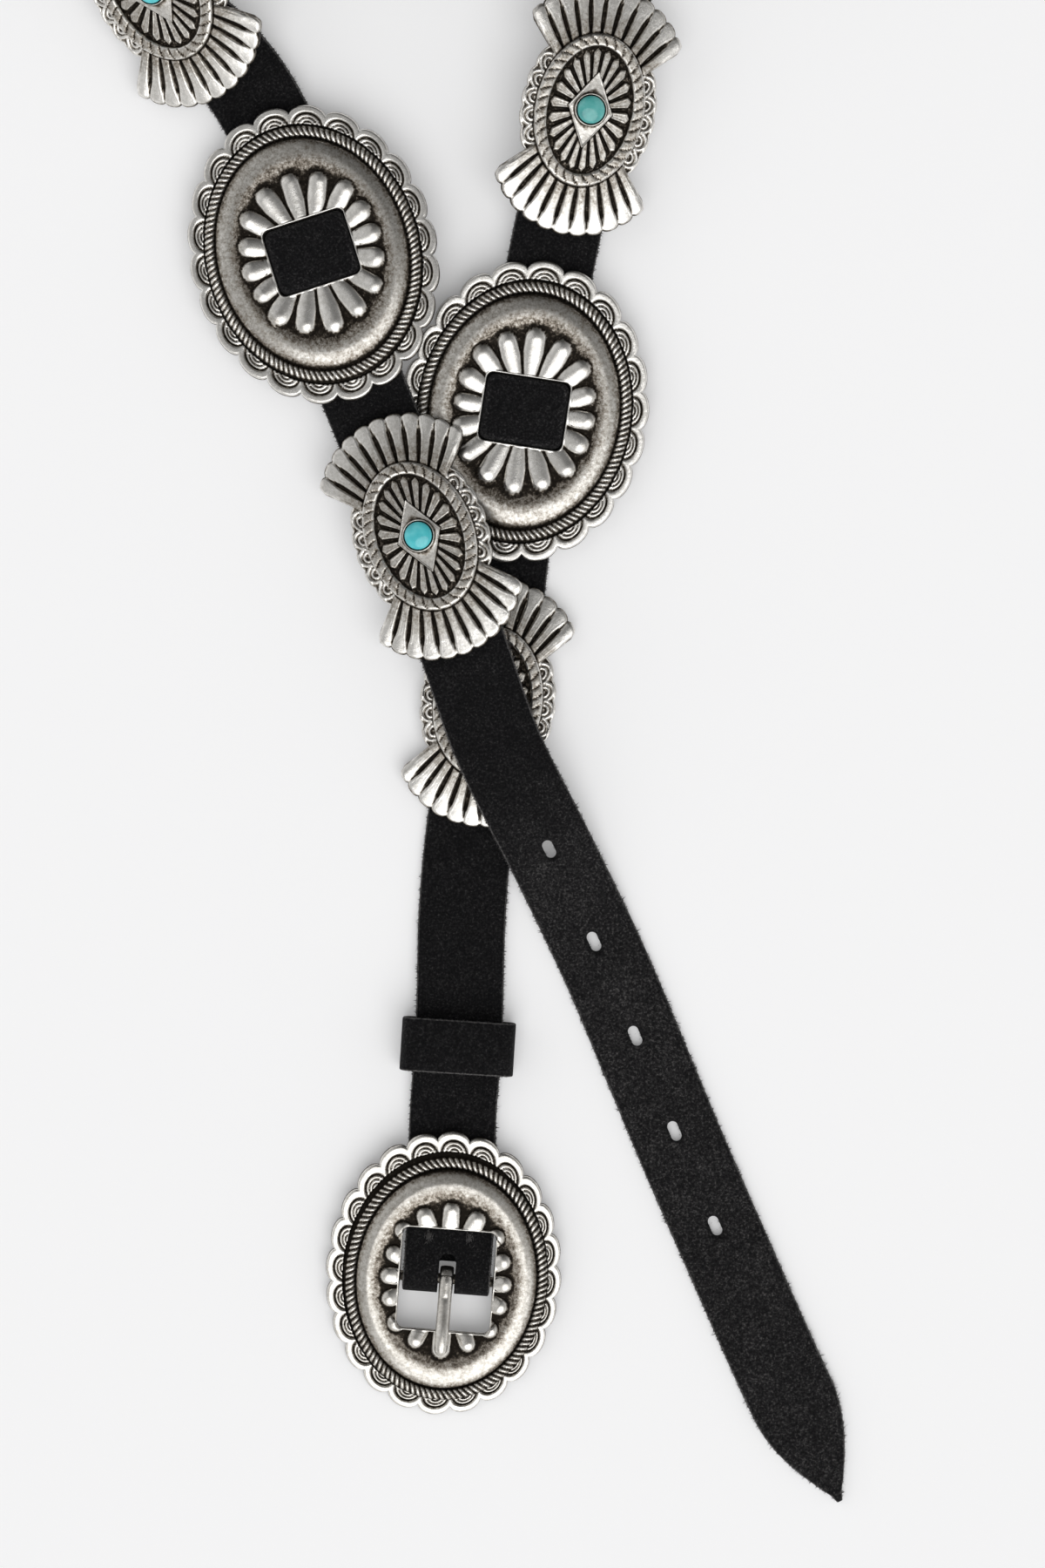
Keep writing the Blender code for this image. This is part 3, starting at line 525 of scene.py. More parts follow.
def window_plate(
    wide, long, lobes, win_wide, win_long, blob_wide, blob_long, blob, cx, cy, twists, age, seed
):
    shell = Shell()
    n = LOBE_COLUMNS * lobes
    a, b = wide / 2, long / 2
    mean = (a + b) / 2
    scale = DOME_HIGH / 6.6
    angle = even_angles(a, b, n)
    sin, cos = np.sin(angle), np.cos(angle)
    edge = window_radius(sin, cos, win_wide, win_long, 2.0)
    lobe = ((np.arange(n) / LOBE_COLUMNS + 0.5) % 1.0 - 0.5) * 2
    reach = 1 - 0.068 * (1 - np.sqrt(1 - 0.96 * lobe ** 2)) + wavering(angle, seed, 0.002)
    window = np.stack([edge * sin, edge * cos], axis=-1)
    band = np.stack([BAND_EDGE * a * sin, BAND_EDGE * b * cos], axis=-1)
    trough = np.stack([TROUGH_EDGE * a * sin + cx / 2, TROUGH_EDGE * b * cos + cy / 2], axis=-1)
    rim = np.stack([a * reach * sin + cx, b * reach * cos + cy], axis=-1)

    share_a = np.concatenate([[0.0, 0.008, 0.016, 0.026, 0.04], np.linspace(0.06, 1, 33)])[:, None, None]
    part_a = window + (band - window) * share_a
    part_b = band + (trough - band) * np.linspace(0, 1, 6)[1:-1, None, None]
    share_c = np.linspace(0, 1, 29)[:, None, None]
    part_c = trough + (rim - trough) * share_c
    flat = np.concatenate([part_a, part_b, part_c])
    rows_a, rows_b = len(part_a), len(part_b)
    x, y = flat[..., 0], flat[..., 1]

    # satin band and the sunk floor inside it
    e = np.hypot(x / a, y / b)
    z = steady_curve(
        [0.0, 0.50, 0.550, 0.595, 0.630, 0.665, 0.705, 0.740, 0.762, 0.776, 0.87],
        [4.7, 4.85, 5.00, 5.36, 5.58, 5.56, 5.20, 4.70, 4.15, 2.2, 1.9],
        e,
    )
    z += wavering(angle, seed + 1, 0.05) * smooth(0.5, 0.7, e)

    # petals round the window, and the thin frame that they end at
    r = np.hypot(x, y)
    turn = np.arctan2(x, y)
    step = 2 * math.pi / PETALS
    near = np.round(turn / step) * step
    l = r * np.cos(turn - near)
    t = r * np.sin(turn - near)
    blob_at = 1 / np.hypot(np.sin(near) / blob_wide, np.cos(near) / blob_long)
    blob_at += 0.8 * (np.abs(np.sin(2 * near)) > 0.9)
    lump = np.random.default_rng(seed + 7).normal(0, 1, PETALS)[np.round(near / step).astype(int) % PETALS]
    size = blob * (1 + 0.04 * lump)
    start = np.interp(near % (2 * math.pi), angle, edge)
    along = np.clip((l - start) / np.maximum(blob_at - start, 0.1), 0, 1)
    half = np.minimum(size, 0.187 * np.maximum(l, 0.1))
    body = 1 - (t / half) ** 2
    head = 1 - (t ** 2 + (l - blob_at) ** 2) / size ** 2
    swell = np.sqrt(np.clip(np.where(l < blob_at, body, head), 0, 1))
    petal = (0.90 + 0.90 * along) * swell
    frame_off = r - edge
    border = smooth(0.95, 0.5, frame_off)
    top = np.maximum(z + petal * smooth(0.1, 0.7, frame_off), border * 5.75)
    top -= 0.45 * (1 - smooth(0.0, 0.30, frame_off))
    inside = np.arange(len(flat))[:, None] < rows_a
    z = np.where(inside, top, z)

    # scalloped rim: a lip that runs on through the cusps, nested arcs in each lobe, a bead at each cusp
    q = np.broadcast_to(share_c[..., 0], (len(part_c), n))
    u = np.abs(np.broadcast_to(lobe, q.shape))
    depth_all = (reach - TROUGH_EDGE) * mean
    depth = (1 - q) * depth_all
    out = q * depth_all
    half_pitch = 0.93 * math.pi * mean / lobes
    nest = np.hypot(u / 0.88, out / (0.142 * mean - 2.2))
    lip = smooth(0.93, 1.10, nest) * np.sqrt(smooth(-0.05, 0.7, depth)) * smooth(0.0, 0.55, out)
    lip *= 0.92 - 0.06 * np.clip((depth - 1.1) / 1.1, -1, 1) ** 2
    arcs = np.zeros_like(q)
    for k in range(3):
        arcs = np.maximum(arcs, (0.66 - 0.07 * k) * dome((nest - 0.77 + 0.29 * k) / 0.125))
    cusp = (1 - u) * half_pitch
    bead = 0.85 * dome(np.hypot(cusp, out - 0.75) / 0.62)
    raised = np.maximum(np.maximum(lip, arcs * smooth(0.0, 0.5, out)), bead)
    rim_z = 1.15 + 0.12 * (1 - q) + raised
    rim_z -= 0.30 * smooth(0.5, 0.0, out)
    rim_z -= 0.30 * smooth(0.965, 1.0, q)
    z[rows_a + rows_b:] = rim_z
    z = z * scale + wavering(angle, seed + 2, 0.03)

    dark = tarnish_of(z, 1.5, 3.0)
    deep = 0.94 - 1.6 * age
    sunk = deep * smooth(0.605, 0.520, e) * (1 - smooth(0.05, 0.75, petal)) * (1 - border)
    sunk = np.maximum(sunk, 0.26 * smooth(0.67, 0.58, e) * (1 - smooth(0.0, 0.3, petal)) * (1 - border))
    dark[:rows_a] = np.maximum(dark[:rows_a], sunk[:rows_a])
    dark[:rows_a] += (age * smooth(0.50, 0.60, e) + 0.28 * smooth(0.715, 0.765, e))[:rows_a]
    dark[:rows_a] *= 1 - 0.9 * (smooth(0.9, 0.5, frame_off) * smooth(0.05, 0.2, frame_off))[:rows_a]
    dark[rows_a - 1:rows_a + rows_b] = 1.0
    between = smooth(0.42, 0.10, raised) * smooth(1.02, 0.95, nest)
    dark[rows_a + rows_b:] = np.maximum(dark[rows_a + rows_b:], 0.85 * between)
    dark = np.minimum(dark, 1.0)

    under = [
        xyz(ring[:, 0], ring[:, 1], level)
        for ring, level in (
            (rim, 0.5 * RIM_WALL),
            (trough + (rim - trough) * 0.985, 0.0),
            (trough + (rim - trough) * 0.80, 0.05),
            (trough, 0.5),
            (band, 1.9 * scale),
            (0.66 / BAND_EDGE * band, 4.2 * scale),
            (window, DOME_HIGH - 1.2 - PLATE_WALL),
        )
    ]
    whole = np.concatenate([xyz(x, y, z), np.array(under)])
    values = np.concatenate([dark, np.full((len(under), n), 0.55)])
    shell.grid(whole, values, along=True)
    add_rope(shell, 0.814 * a, 0.814 * b, 1.72, 2.0 * scale, 1.85 * scale, twists, 0.55, 0.62, seed + 3)
    return shell


def add_staple(shell, inner, low, high, top, wall, long):
    """Bar under the strap on two posts, with softened edges."""
    outer = inner + wall
    outline = np.array([
        (-outer, low), (outer, low), (outer, top), (inner, top),
        (inner, high), (-inner, high), (-inner, top), (-outer, top),
    ])
    shrink = np.array([(1, 1), (-1, 1), (-1, 0), (1, 0), (1, -1), (-1, -1), (-1, 0), (1, 0)])
    ease = 0.25
    rows = []
    for y, pull in ((-long / 2, ease), (-long / 2 + ease, 0.0), (long / 2 - ease, 0.0), (long / 2, ease)):
        ring = outline + pull * shrink
        rows.append(xyz(ring[:, 0], y, ring[:, 1]))
    index = shell.grid(np.array(rows), 0.5, flip=True)
    for ring, flip in ((index[0], True), (index[-1], False)):
        for quad in ((0, 1, 4, 5), (1, 2, 3, 4), (0, 5, 6, 7)):
            face = ring[list(quad)][None]
            shell.quads.append(face[:, ::-1] if flip else face)


# Winged plate


def wing_plate(seed):
    shell = Shell()
    ribs, per_rib = 11, 12
    scallops, per_scallop = 5, 14
    fan = np.radians(np.linspace(-45, 45, ribs * per_rib + 1))
    side = np.radians(np.linspace(45.35, 134.65, scallops * per_scallop + 1))
    angle = np.concatenate([fan, side, fan + math.pi, side + math.pi])
    is_fan = np.concatenate([np.ones(len(fan)), np.zeros(len(side))] * 2).astype(bool)
    across = np.linspace(0, ribs, len(fan))
    rib = ((across % 1.0) - 0.5) * 2
    rib[-1] = 1.0
    rib = np.concatenate([rib, np.zeros(len(side))] * 2)
    loop = np.linspace(0, scallops, len(side))
    loop = np.concatenate([np.zeros(len(fan)), ((loop % 1.0) - 0.5) * 2] * 2)
    n = len(angle)
    sin, cos = np.sin(angle), np.cos(angle)
    off = np.abs(np.degrees(np.arctan2(np.abs(sin), np.abs(cos))))
    last_rib = off > 45.0 - 90.0 / ribs

    rope_a, rope_b = 0.366 * WING_WIDE - 0.45, 0.285 * WING_LONG - 0.45
    rope_half = 1.95
    seat = STONE_WIDE / 2 + GAP
    bezel = seat + BEZEL_WALL

    def oval(across, along):
        return 1 / np.hypot(sin / across, cos / along)

    rope_in = oval(rope_a - rope_half, rope_b - rope_half)
    rope_out = oval(rope_a + rope_half, rope_b + rope_half)
    kite = 1 / (np.abs(sin) / (KITE_WIDE / 2) + np.abs(cos) / (KITE_LONG / 2))
    kite = np.maximum(kite, bezel + 0.35)
    fan_end = WING_LONG / 2 * (1 - 0.11 * (off / 45.0) ** 2) - 0.8 * np.abs(rib) ** 3
    fan_end -= 1.3 * smooth(43.0, 45.0, off)
    fan_end += wavering(angle, seed, 0.12)
    side_end = oval(WING_WIDE / 2, 0.66 * WING_WIDE) * (1 - 0.035 * np.abs(loop) ** 2.5)
    end = np.where(is_fan, fan_end, side_end)

    radii = []
    heights = []

    def ring(radius, height):
        radii.append(np.broadcast_to(radius, (n,)).astype(float))
        heights.append(np.broadcast_to(height, (n,)).astype(float))

    # seat, bezel and kite
    for radius, height in (
        (0.6 * seat, 0.2), (seat - 0.02, 0.2), (seat, 0.95), (seat + 0.12, 1.08),
        (bezel - 0.1, 1.05), (bezel, 0.85), (bezel + 0.04, 0.12), (bezel + 0.22, 0.0),
    ):
        ring(radius, TABLE + height)
    bezel_rows = len(radii)
    for share in (0.3, 0.6, 0.85):
        inside = bezel + 0.22
        ring(inside + (kite - 0.32 - inside) * share, TABLE - 0.14 * share)
    ring(np.maximum(kite - 0.32, bezel + 0.24), TABLE - 0.14)
    ring(np.maximum(kite - 0.16, bezel + 0.26), TABLE)
    ring(kite, TABLE - 0.2)
    ring(kite + 0.16, TABLE - 1.3)
    kite_rows = len(radii)

    # rays between the kite and the ring, each with a pointed end
    rays = 22
    ray_angle = np.arctan2(sin / (rope_a - rope_half), cos / (rope_b - rope_half))
    p = np.abs((((ray_angle * rays / (2 * math.pi)) % 1.0) - 0.5) * 2)
    for share in np.linspace(0.02, 1.0, 26):
        radius = kite + 0.16 + (rope_in - kite - 0.16) * share
        half = 0.60 + 0.10 * share
        tip = 0.80 + 0.14 * (1 - p / half)
        inside = smooth(0.20, -0.12, p - half) * smooth(0.035, -0.02, share - tip)
        border = np.exp(-(((p - half + 0.16) / 0.10) ** 2)) * smooth(0.02, -0.02, share - tip + 0.03)
        arch = np.exp(-(((share - 0.90 + 0.06 * (1 - p)) / 0.028) ** 2)) * smooth(0.45, 0.85, p)
        crest = TABLE - 0.85 - 0.25 * share - 0.12 * p * p
        floor = TABLE - 1.95
        ring(radius, floor + (crest - floor) * np.maximum(inside, 0.55 * arch) + 0.10 * border)
    picket_rows = len(radii)
    for share in (0.15, 0.5, 0.85):
        ring(rope_in + (rope_out - rope_in) * share, TABLE - 2.1)
    rope_rows = len(radii)

    # fans and side scallops
    shares = np.linspace(0.0, 1.0, 26)
    for share in shares:
        radius = rope_out + (end - rope_out) * share
        crown = 3.25 - 1.2 * share ** 1.15
        wide = 0.40 * smooth(0.97, 0.50, share) * smooth(-0.35, 0.30, share)
        gap = np.abs(rib) - (1 - wide)
        groove = smooth(-0.06, 0.24, gap) * (off < 44.0)
        border = np.exp(-(((gap + 0.13) / 0.075) ** 2)) * smooth(0.03, 0.2, share) * smooth(1.0, 0.9, share)
        fan_z = crown - (1.25 - 0.45 * share) * groove + 0.11 * border - 0.16 * rib ** 2
        fan_z += 0.28 * last_rib * (1 - rib ** 2) * share
        fan_z -= 0.45 * smooth(0.955, 1.0, share) + 0.35 * (off > 44.9)
        spread = 0.5 * math.radians(89.3 / scallops) * radius
        d = np.hypot(loop * spread * 1.04, share * (end - rope_out) * 0.90)
        arcs = np.maximum(0.66 * dome((d - 2.75) / 0.55), 0.60 * dome((d - 1.50) / 0.46))
        arcs = np.maximum(arcs, 0.40 * dome(d / 0.55))
        cusp = np.hypot((1 - np.abs(loop)) * spread, share * (end - rope_out) - 0.5)
        rim = 0.42 * smooth(0.76, 0.90, share) - 0.25 * smooth(0.96, 1.0, share)
        side_z = 1.70 - 0.5 * share + arcs * (share < 0.88) + 0.35 * dome(cusp / 0.6) + rim
        ring(radius, np.where(is_fan, fan_z, side_z))

    radius = np.array(radii)
    z = np.array(heights) + wavering(angle, seed + 1, 0.02)
    dark = tarnish_of(z, 1.2, 2.4, 0.03, 0.40)
    dark[:bezel_rows] = 0.10
    dark[1:3] = 0.9
    dark[bezel_rows - 2:bezel_rows] = 0.6
    dark[bezel_rows:kite_rows - 1] = 0.12
    dark[kite_rows - 1] = 0.9
    low = smooth(TABLE - 1.25, TABLE - 1.85, z[kite_rows:picket_rows])
    dark[kite_rows:picket_rows] = np.maximum(0.85 * dark[kite_rows:picket_rows], 0.66 * low) + 0.23
    dark[picket_rows:rope_rows] = 1.0
    dark[rope_rows:, ~is_fan] *= 0.62
    # painted shade: the fans get darker towards their inner ends, by up to 0.30
    dark[rope_rows:, is_fan] += 0.30 * smooth(0.80, 0.0, shares)[:, None]
    dark[rope_rows:rope_rows + 1] = 0.9
    dark = np.minimum(dark, 1.0)
    top = xyz(radius * sin, radius * cos, z)

    under_mid = RIM_OVER + 0.4
    under = [
        xyz(end * sin, end * cos, 0.5),
        np.stack([0.995 * end * sin, 0.995 * end * cos, np.zeros(n)], axis=-1),
        xyz(0.95 * end * sin, 0.95 * end * cos, 0.4),
        xyz(rope_a * sin, rope_b * cos, under_mid),
        xyz(0.3 * rope_a * sin, 0.3 * rope_b * cos, under_mid),
    ]
    whole = np.concatenate([top, np.array(under)])
    values = np.concatenate([dark, np.full((len(under), n), 0.55)])
    index = shell.grid(whole, values)
    shell.cap(index[0], (0.0, 0.0, TABLE + 0.2), 0.8, flip=True)
    shell.cap(index[-1], (0.0, 0.0, under_mid), 0.55)
    add_band(shell, rope_a, rope_b, rope_half, TABLE - 2.3, 1.75, 36, 0.42, seed + 5)
    return shell


def stone():
    shell = Shell()
    r = STONE_WIDE / 2
    angle = turns(64)
    rows = [(0.9 * r, 0.0), (r, 0.12), (r, 0.30)]
    for k in range(1, 16):
        t = math.pi / 2 * k / 16
        rows.append((r * math.cos(t), 0.30 + 0.70 * math.sin(t)))
    radius, level = np.array(rows).T[..., None]
    points = xyz(radius * np.sin(angle), radius * np.cos(angle), STONE_SEAT + STONE_HIGH * level)
    index = shell.grid(points, 0.0, flip=True)
    shell.cap(index[0], (0.0, 0.0, STONE_SEAT), 0.0)
    shell.cap(index[-1], (0.0, 0.0, STONE_SEAT + STONE_HIGH), 0.0, flip=True)
    return shell


# Strap, keeper and prong


def strap_section(half_wide, half_thick):
    """Points round the strap's cut: flat faces with rubbed, rounded edges. Value 1 is the cut edge."""
    c = min(0.55, 0.5 * half_wide, 0.8 * half_thick)
    flats = np.linspace(-1, 1, 9) * (half_wide - c)
    ring = [(x, half_thick, 0.0) for x in flats[::-1]]
    for k in range(1, 6):
        t = math.pi * k / 6
        ring.append((-(half_wide - c) - c * math.sin(t), half_thick * math.cos(t), 1.0))
    ring += [(x, -half_thick, 0.0) for x in flats]
    for k in range(1, 6):
        t = math.pi * k / 6
        ring.append((half_wide - c + c * math.sin(t), -half_thick * math.cos(t), 1.0))
    return np.array(ring)


def strap_rows():
    """Rows along the strap: point, across, face, half width and half thickness of each section."""
    _, bar, side, flat = buckle_matrix()
    up = np.array([0.0, 0.0, 1.0])
    half = STRAP_WIDTH / 2
    thick = STRAP_THICK / 2
    rows = []
    for k in range(14):
        share = 1 - k / 14
        drop = BAR_TOP + (bar[2] - BAR_TOP - thick) * share
        point = bar + flat * FOLD_BACK * share - up * drop
        rows.append((-1.0, point, side, -up, half, thick * (1 - 0.35 * share)))
    for k in range(25):
        t = math.pi * k / 25
        face = -up * math.cos(t) - flat * math.sin(t)
        rows.append((-1.0, bar + face * BAR_TOP, side, face, half, thick))
    runs = list(np.arange(0.0, STRAP_RUN - POINT_LONG - 1.0, 2.2))
    runs += list(STRAP_RUN - POINT_LONG * np.cos(np.linspace(0, math.pi / 2, 22)))
    draw = np.random.default_rng(5)
    waver = draw.normal(0, 0.11, (len(runs), 2))
    waver = blurred(blurred(waver, 2.5, 0), 2.5, 0)
    for s, (shift, swell) in zip(runs, waver):
        here, across, _, face = strap_frame(s)
        left = min(1.0, (STRAP_RUN - s) / POINT_LONG)
        wide = max(0.9, half * math.sin(left * math.pi / 2) ** 0.92) + min(0.0, swell)
        rows.append((s, here + face * strap_lift(s) + across * shift, across, face, wide, thick))
    return rows


def strap_shell(rows):
    shell = Shell()
    rings = []
    values = []
    for s, point, across, face, wide, deep in rows:
        section = strap_section(wide, deep)
        rings.append(point + section[:, :1] * across + section[:, 1:2] * face)
        wear_and_sheen = 0.34 * smooth(STOP["over_b"], STOP["down_b"], s)
        values.append(np.maximum(section[:, 2], wear_and_sheen))
    shell.solid(rings, np.array(values), (1.0, 1.0), flip=True)
    return shell


def strap_fuzz(rows):
    """Loose fibres: a fringe on both cut edges, a thin nap on the face, two thread ends on the fold."""
    rows = [row for row in rows if row[0] >= 0]
    run = np.array([row[0] for row in rows])
    draw = np.random.default_rng(11)
    frames = np.concatenate([np.array([row[k] for row in rows]) for k in (1, 2, 3)], axis=1)
    widths = np.array([row[4] for row in rows])

    def surface(s):
        """Point, across, travel, face and half width at each run."""
        parts = np.stack([np.interp(s, run, frames[:, k]) for k in range(9)], axis=1)
        point, across, face = parts[:, :3], parts[:, 3:6], parts[:, 6:]
        return point, across, np.cross(face, across), face, np.interp(s, run, widths)[:, None]

    shell = Shell()
    for count, long, wide_at in ((6500, 0.16, 0.40), (4000, 0.24, 0.11)):
        s = draw.uniform(0, STRAP_RUN - 0.5, count)
        point, across, travel, face, wide = surface(s)
        sign = np.where(draw.random(count) < 0.5, -1.0, 1.0)[:, None]
        level = draw.uniform(-0.7, 0.85, count)[:, None]
        base = point + sign * across * (wide - 0.15) + face * level * STRAP_THICK / 2
        aim = sign * across + travel * draw.normal(0, 0.7, (count, 1))
        aim = aim + face * draw.normal(0, 0.35, (count, 1))
        shell.spikes(base, aim, face, 0.12 + draw.gamma(3.0, long, (count, 1)), wide_at, 1.0)

    count = 4000
    s = draw.uniform(0, STRAP_RUN - 4.0, count)
    point, across, travel, face, wide = surface(s)
    base = point + across * draw.uniform(-0.97, 0.97, (count, 1)) * wide + face * (STRAP_THICK / 2 - 0.03)
    turn = draw.uniform(0, 2 * math.pi, (count, 1))
    aim = across * np.cos(turn) + travel * np.sin(turn)
    length = draw.gamma(3.0, 0.16, (count, 1))
    shell.spikes(base, aim + 0.25 * face, np.cross(aim, face), length, 0.10, 0.8)

    count = 150
    s = THREAD_RUN + draw.normal(0, 0.8, count)
    point, across, travel, face, wide = surface(s)
    sign = np.where(draw.random(count) < 0.5, -1.0, 1.0)[:, None]
    aside = THREAD_SIDE * sign + draw.normal(0, 0.55, (count, 1))
    base = point + across * aside + face * (STRAP_THICK / 2 - 0.05)
    aim = travel * draw.choice([-1.0, 1.0], (count, 1)) + across * draw.normal(0, 0.5, (count, 1))
    shell.spikes(base, aim + 0.35 * face, across, draw.uniform(0.6, 1.3, (count, 1)), 0.20, 2.2)
    return shell


def fuzz_on(shell, m, edges, seed, per_mm):
    """Fringe along straight edges given as start, end and outward direction in the frame m."""
    draw = np.random.default_rng(seed)
    for start, end, out in edges:
        start, end = moved([start, end], m)
        out = m[:3, :3] @ np.asarray(out, dtype=float)
        run = end - start
        count = max(4, int(np.linalg.norm(run) * per_mm))
        base = start + run * draw.random((count, 1)) - 0.1 * out
        along = run / np.linalg.norm(run)
        aim = out + along * draw.normal(0, 0.8, (count, 1)) + m[:3, 2] * draw.normal(0, 0.3, (count, 1))
        sideways = np.broadcast_to(np.cross(along, out), aim.shape)
        shell.spikes(base, aim, sideways, 0.1 + draw.gamma(3.0, 0.13, (count, 1)), 0.18, 1.0)


def slot_cutter(wide, long, corner, low, high, m, name):
    """Closed prism with rounded corners, to cut a hole through the suede."""
    r = min(corner, wide / 2 - 0.01)
    outline = []
    for quarter, (sx, sy) in enumerate(((1, 1), (-1, 1), (-1, -1), (1, -1))):
        for k in range(7):
            t = math.pi / 2 * (quarter + k / 6)
            outline.append((sx * (wide / 2 - r) + r * math.cos(t), sy * (long / 2 - r) + r * math.sin(t)))
    n = len(outline)
    points = [(x, y, z) for z in (low, high) for x, y in outline]
    faces = [tuple(range(n - 1, -1, -1)), tuple(range(n, 2 * n))]
    for k in range(n):
        k2 = (k + 1) % n
        faces.append((k, k2, n + k2, n + k))
    mesh = bpy.data.meshes.new(name)
    mesh.from_pydata([tuple(p) for p in (moved(points, m) + SHIFT) * MM], [], faces)
    mesh.update()
    return add_object(name, mesh)


def cut(item, tools):
    """Cut the tools out of the piece and drop them."""
    for tool in tools:
        step = item.modifiers.new(tool.name, "BOOLEAN")
        step.operation = "DIFFERENCE"
        step.solver = "EXACT"
        step.object = tool
    bpy.context.view_layer.update()
    graph = bpy.context.evaluated_depsgraph_get()
    mesh = bpy.data.meshes.new_from_object(item.evaluated_get(graph))
    item.modifiers.clear()
    old = item.data
    item.data = mesh
    bpy.data.meshes.remove(old)
    for tool in tools:
        bpy.data.objects.remove(tool, do_unlink=True)


def keeper_shell():
    low = -STRAP_THICK / 2 - 2 * GAP
    high = STRAP_THICK / 2 + KEEPER_ROOM
    middle = (low + high) / 2
    # points round the four rounded corners, evenly by angle; each flat face is one span between them
    wide, deep = KEEPER_WIDE / 2 - KEEPER_WALL, (high - low) / 2
    corner = 2.2
    path = []
    for cx, cz, start in (
        (wide - corner, deep - corner, 0.0),
        (wide - corner, -deep + corner, 0.5),
        (-wide + corner, -deep + corner, 1.0),
        (-wide + corner, deep - corner, 1.5),
    ):
        for k in range(7):
            t = math.pi * (start + 0.5 * k / 6)
            path.append((cx, cz, math.sin(t), math.cos(t)))
    path = np.array(path)
    half = KEEPER_LONG / 2
    wall = KEEPER_WALL
    ease = 0.5
    turn = np.linspace(0.4, 2.74, 5)
    profile = [(-half + ease, 0.0, 0.0), (half - ease, 0.0, 0.0)]
    profile += [(half - ease + ease * math.sin(t), wall / 2 * (1 - math.cos(t)), 1.0) for t in turn]
    profile += [(half - ease, wall, 0.0), (0.0, wall, 0.0), (-half + ease, wall, 0.0)]
    profile += [(-half + ease - ease * math.sin(t), wall / 2 * (1 + math.cos(t)), 1.0) for t in turn]
    rows = []
    for y, grow, _ in profile:
        r = corner + grow
        rows.append(xyz(path[:, 0] + path[:, 2] * r, y, middle + path[:, 1] + path[:, 3] * r))
    shell = Shell()
    shell.grid(np.array(rows), np.array(profile)[:, 2:], along=True)
    shell.move(place_matrix(STOP["keeper"], 0.0))
    return shell


def prong_shell():
    shell = Shell()
    inner = BAR_WIDE / 2 + GAP
    outer = inner + 0.5 * PRONG_WIDE
    middle, wall = (inner + outer) / 2, (outer - inner) / 2
    angle = turns(48)
    rows = []
    for k in range(20):
        t = 2 * math.pi * k / 20
        x = PRONG_WIDE / 2 * np.sign(math.cos(t)) * abs(math.cos(t)) ** 0.6
        r = middle + wall * np.sign(math.sin(t)) * abs(math.sin(t)) ** 0.6
        rows.append(xyz(x, r * np.cos(angle), BAR_HIGH + r * np.sin(angle)))
    shell.grid(np.array(rows), 0.08, along=True)
    rest = DOME_HIGH + 1.5 + GAP
    tip_long = 2.0
    tip_at = -PRONG_REACH + tip_long
    table = np.array([
        (1.5, 0.42, BAR_HIGH + 0.88 * outer),
        (0.0, 0.50, BAR_HIGH + 0.99 * outer),
        (-3.0, 0.50, BAR_HIGH + 1.10 * outer),
        (-8.0, 0.50, 0.5 * (BAR_HIGH + 1.2 * outer) + 0.5 * rest),
        (-14.0, 0.50, rest + 1.0),
        (-18.0, 0.48, rest + 0.40 * PRONG_WIDE),
        (tip_at, 0.45, rest + 0.39 * PRONG_WIDE),
    ])
    rounded = tip_at - tip_long * np.sin(np.linspace(0.1, 1.55, 10))
    y = np.concatenate([np.linspace(1.5, tip_at, 44), rounded])
    tip = np.clip((tip_at - y) / tip_long, 0, 1)
    share = steady_curve(-table[:, 0], table[:, 1], -y) * np.sqrt(1 - 0.985 * tip ** 2)
    level = steady_curve(-table[:, 0], table[:, 2], -y)
    rows = []
    for yy, sh, zz in zip(y, share, level):
        r = sh * PRONG_WIDE
        pit = 0.25 * math.exp(-(((yy + 4.8) / 0.7) ** 2))
        lift = 0.92 * r * np.sin(angle)
        lift = np.where(np.sin(angle) > 0, lift - pit * dome(np.cos(angle) * 2.2), lift)
        rows.append(xyz(r * np.cos(angle), yy, zz + lift))
    shell.solid(rows, 0.05, (0.2, 0.05))
    return shell


def add_bar(shell):
    """The bar of the buckle on its two posts."""
    post = 1.2
    reach = BUCKLE_WINDOW_WIDE / 2 + 0.5 + post
    r = BAR_WIDE / 2
    low = BAR_HIGH - r
    angle = turns(24)
    rows = [xyz(x, r * np.cos(angle), BAR_HIGH + r * np.sin(angle)) for x in np.linspace(-reach, reach, 8)]
    shell.solid(rows, 0.35, (0.35, 0.35))
    u, v = [np.sign(c) * np.abs(c) ** 0.4 for c in (np.cos(turns(16)), np.sin(turns(16)))]
    for sign in (-1, 1):
        rows = [
            xyz(sign * reach + post * size * u, 2.0 * size * v, z)
            for z, size in ((low, 0.85), (low + 0.4, 1.0), (DOME_HIGH - 0.6 * PLATE_WALL, 1.0))
        ]
        shell.solid(rows, 0.5, (0.5, 0.5))


def window_bulge():
    """Suede pressed up into the window of an oval plate, with painted sheen on its curved flanks."""
    shell = Shell()
    angle = turns(96)
    sin, cos = np.sin(angle), np.cos(angle)
    edge = window_radius(sin, cos, WINDOW_WIDE - 0.5, WINDOW_LONG - 0.5, 2.6)
    seat = BRIDGE_WALL + GAP + STRAP_THICK - 0.3
    top = DOME_HIGH - 1.05
    profile = (
        (1.0, 0.0), (1.0, 0.35), (0.985, 0.62), (0.955, 0.82),
        (0.91, 0.93), (0.84, 0.985), (0.6, 1.0), (0.3, 1.0),
    )
    rows = []
    for share, level in profile:
        r = np.maximum(edge - (1 - share) * 13.0, 0.0)
        rows.append(xyz(r * sin, r * cos, seat + (top - seat) * level))
    # painted sheen: the five flank rows get an edge value of 0.25, so the suede is lighter where the bulge
    # curves down
    shell.solid(rows, 0.25 * (np.arange(len(rows)) < 5)[:, None], (0.0, 0.0), flip=True)
    return shell


# Materials


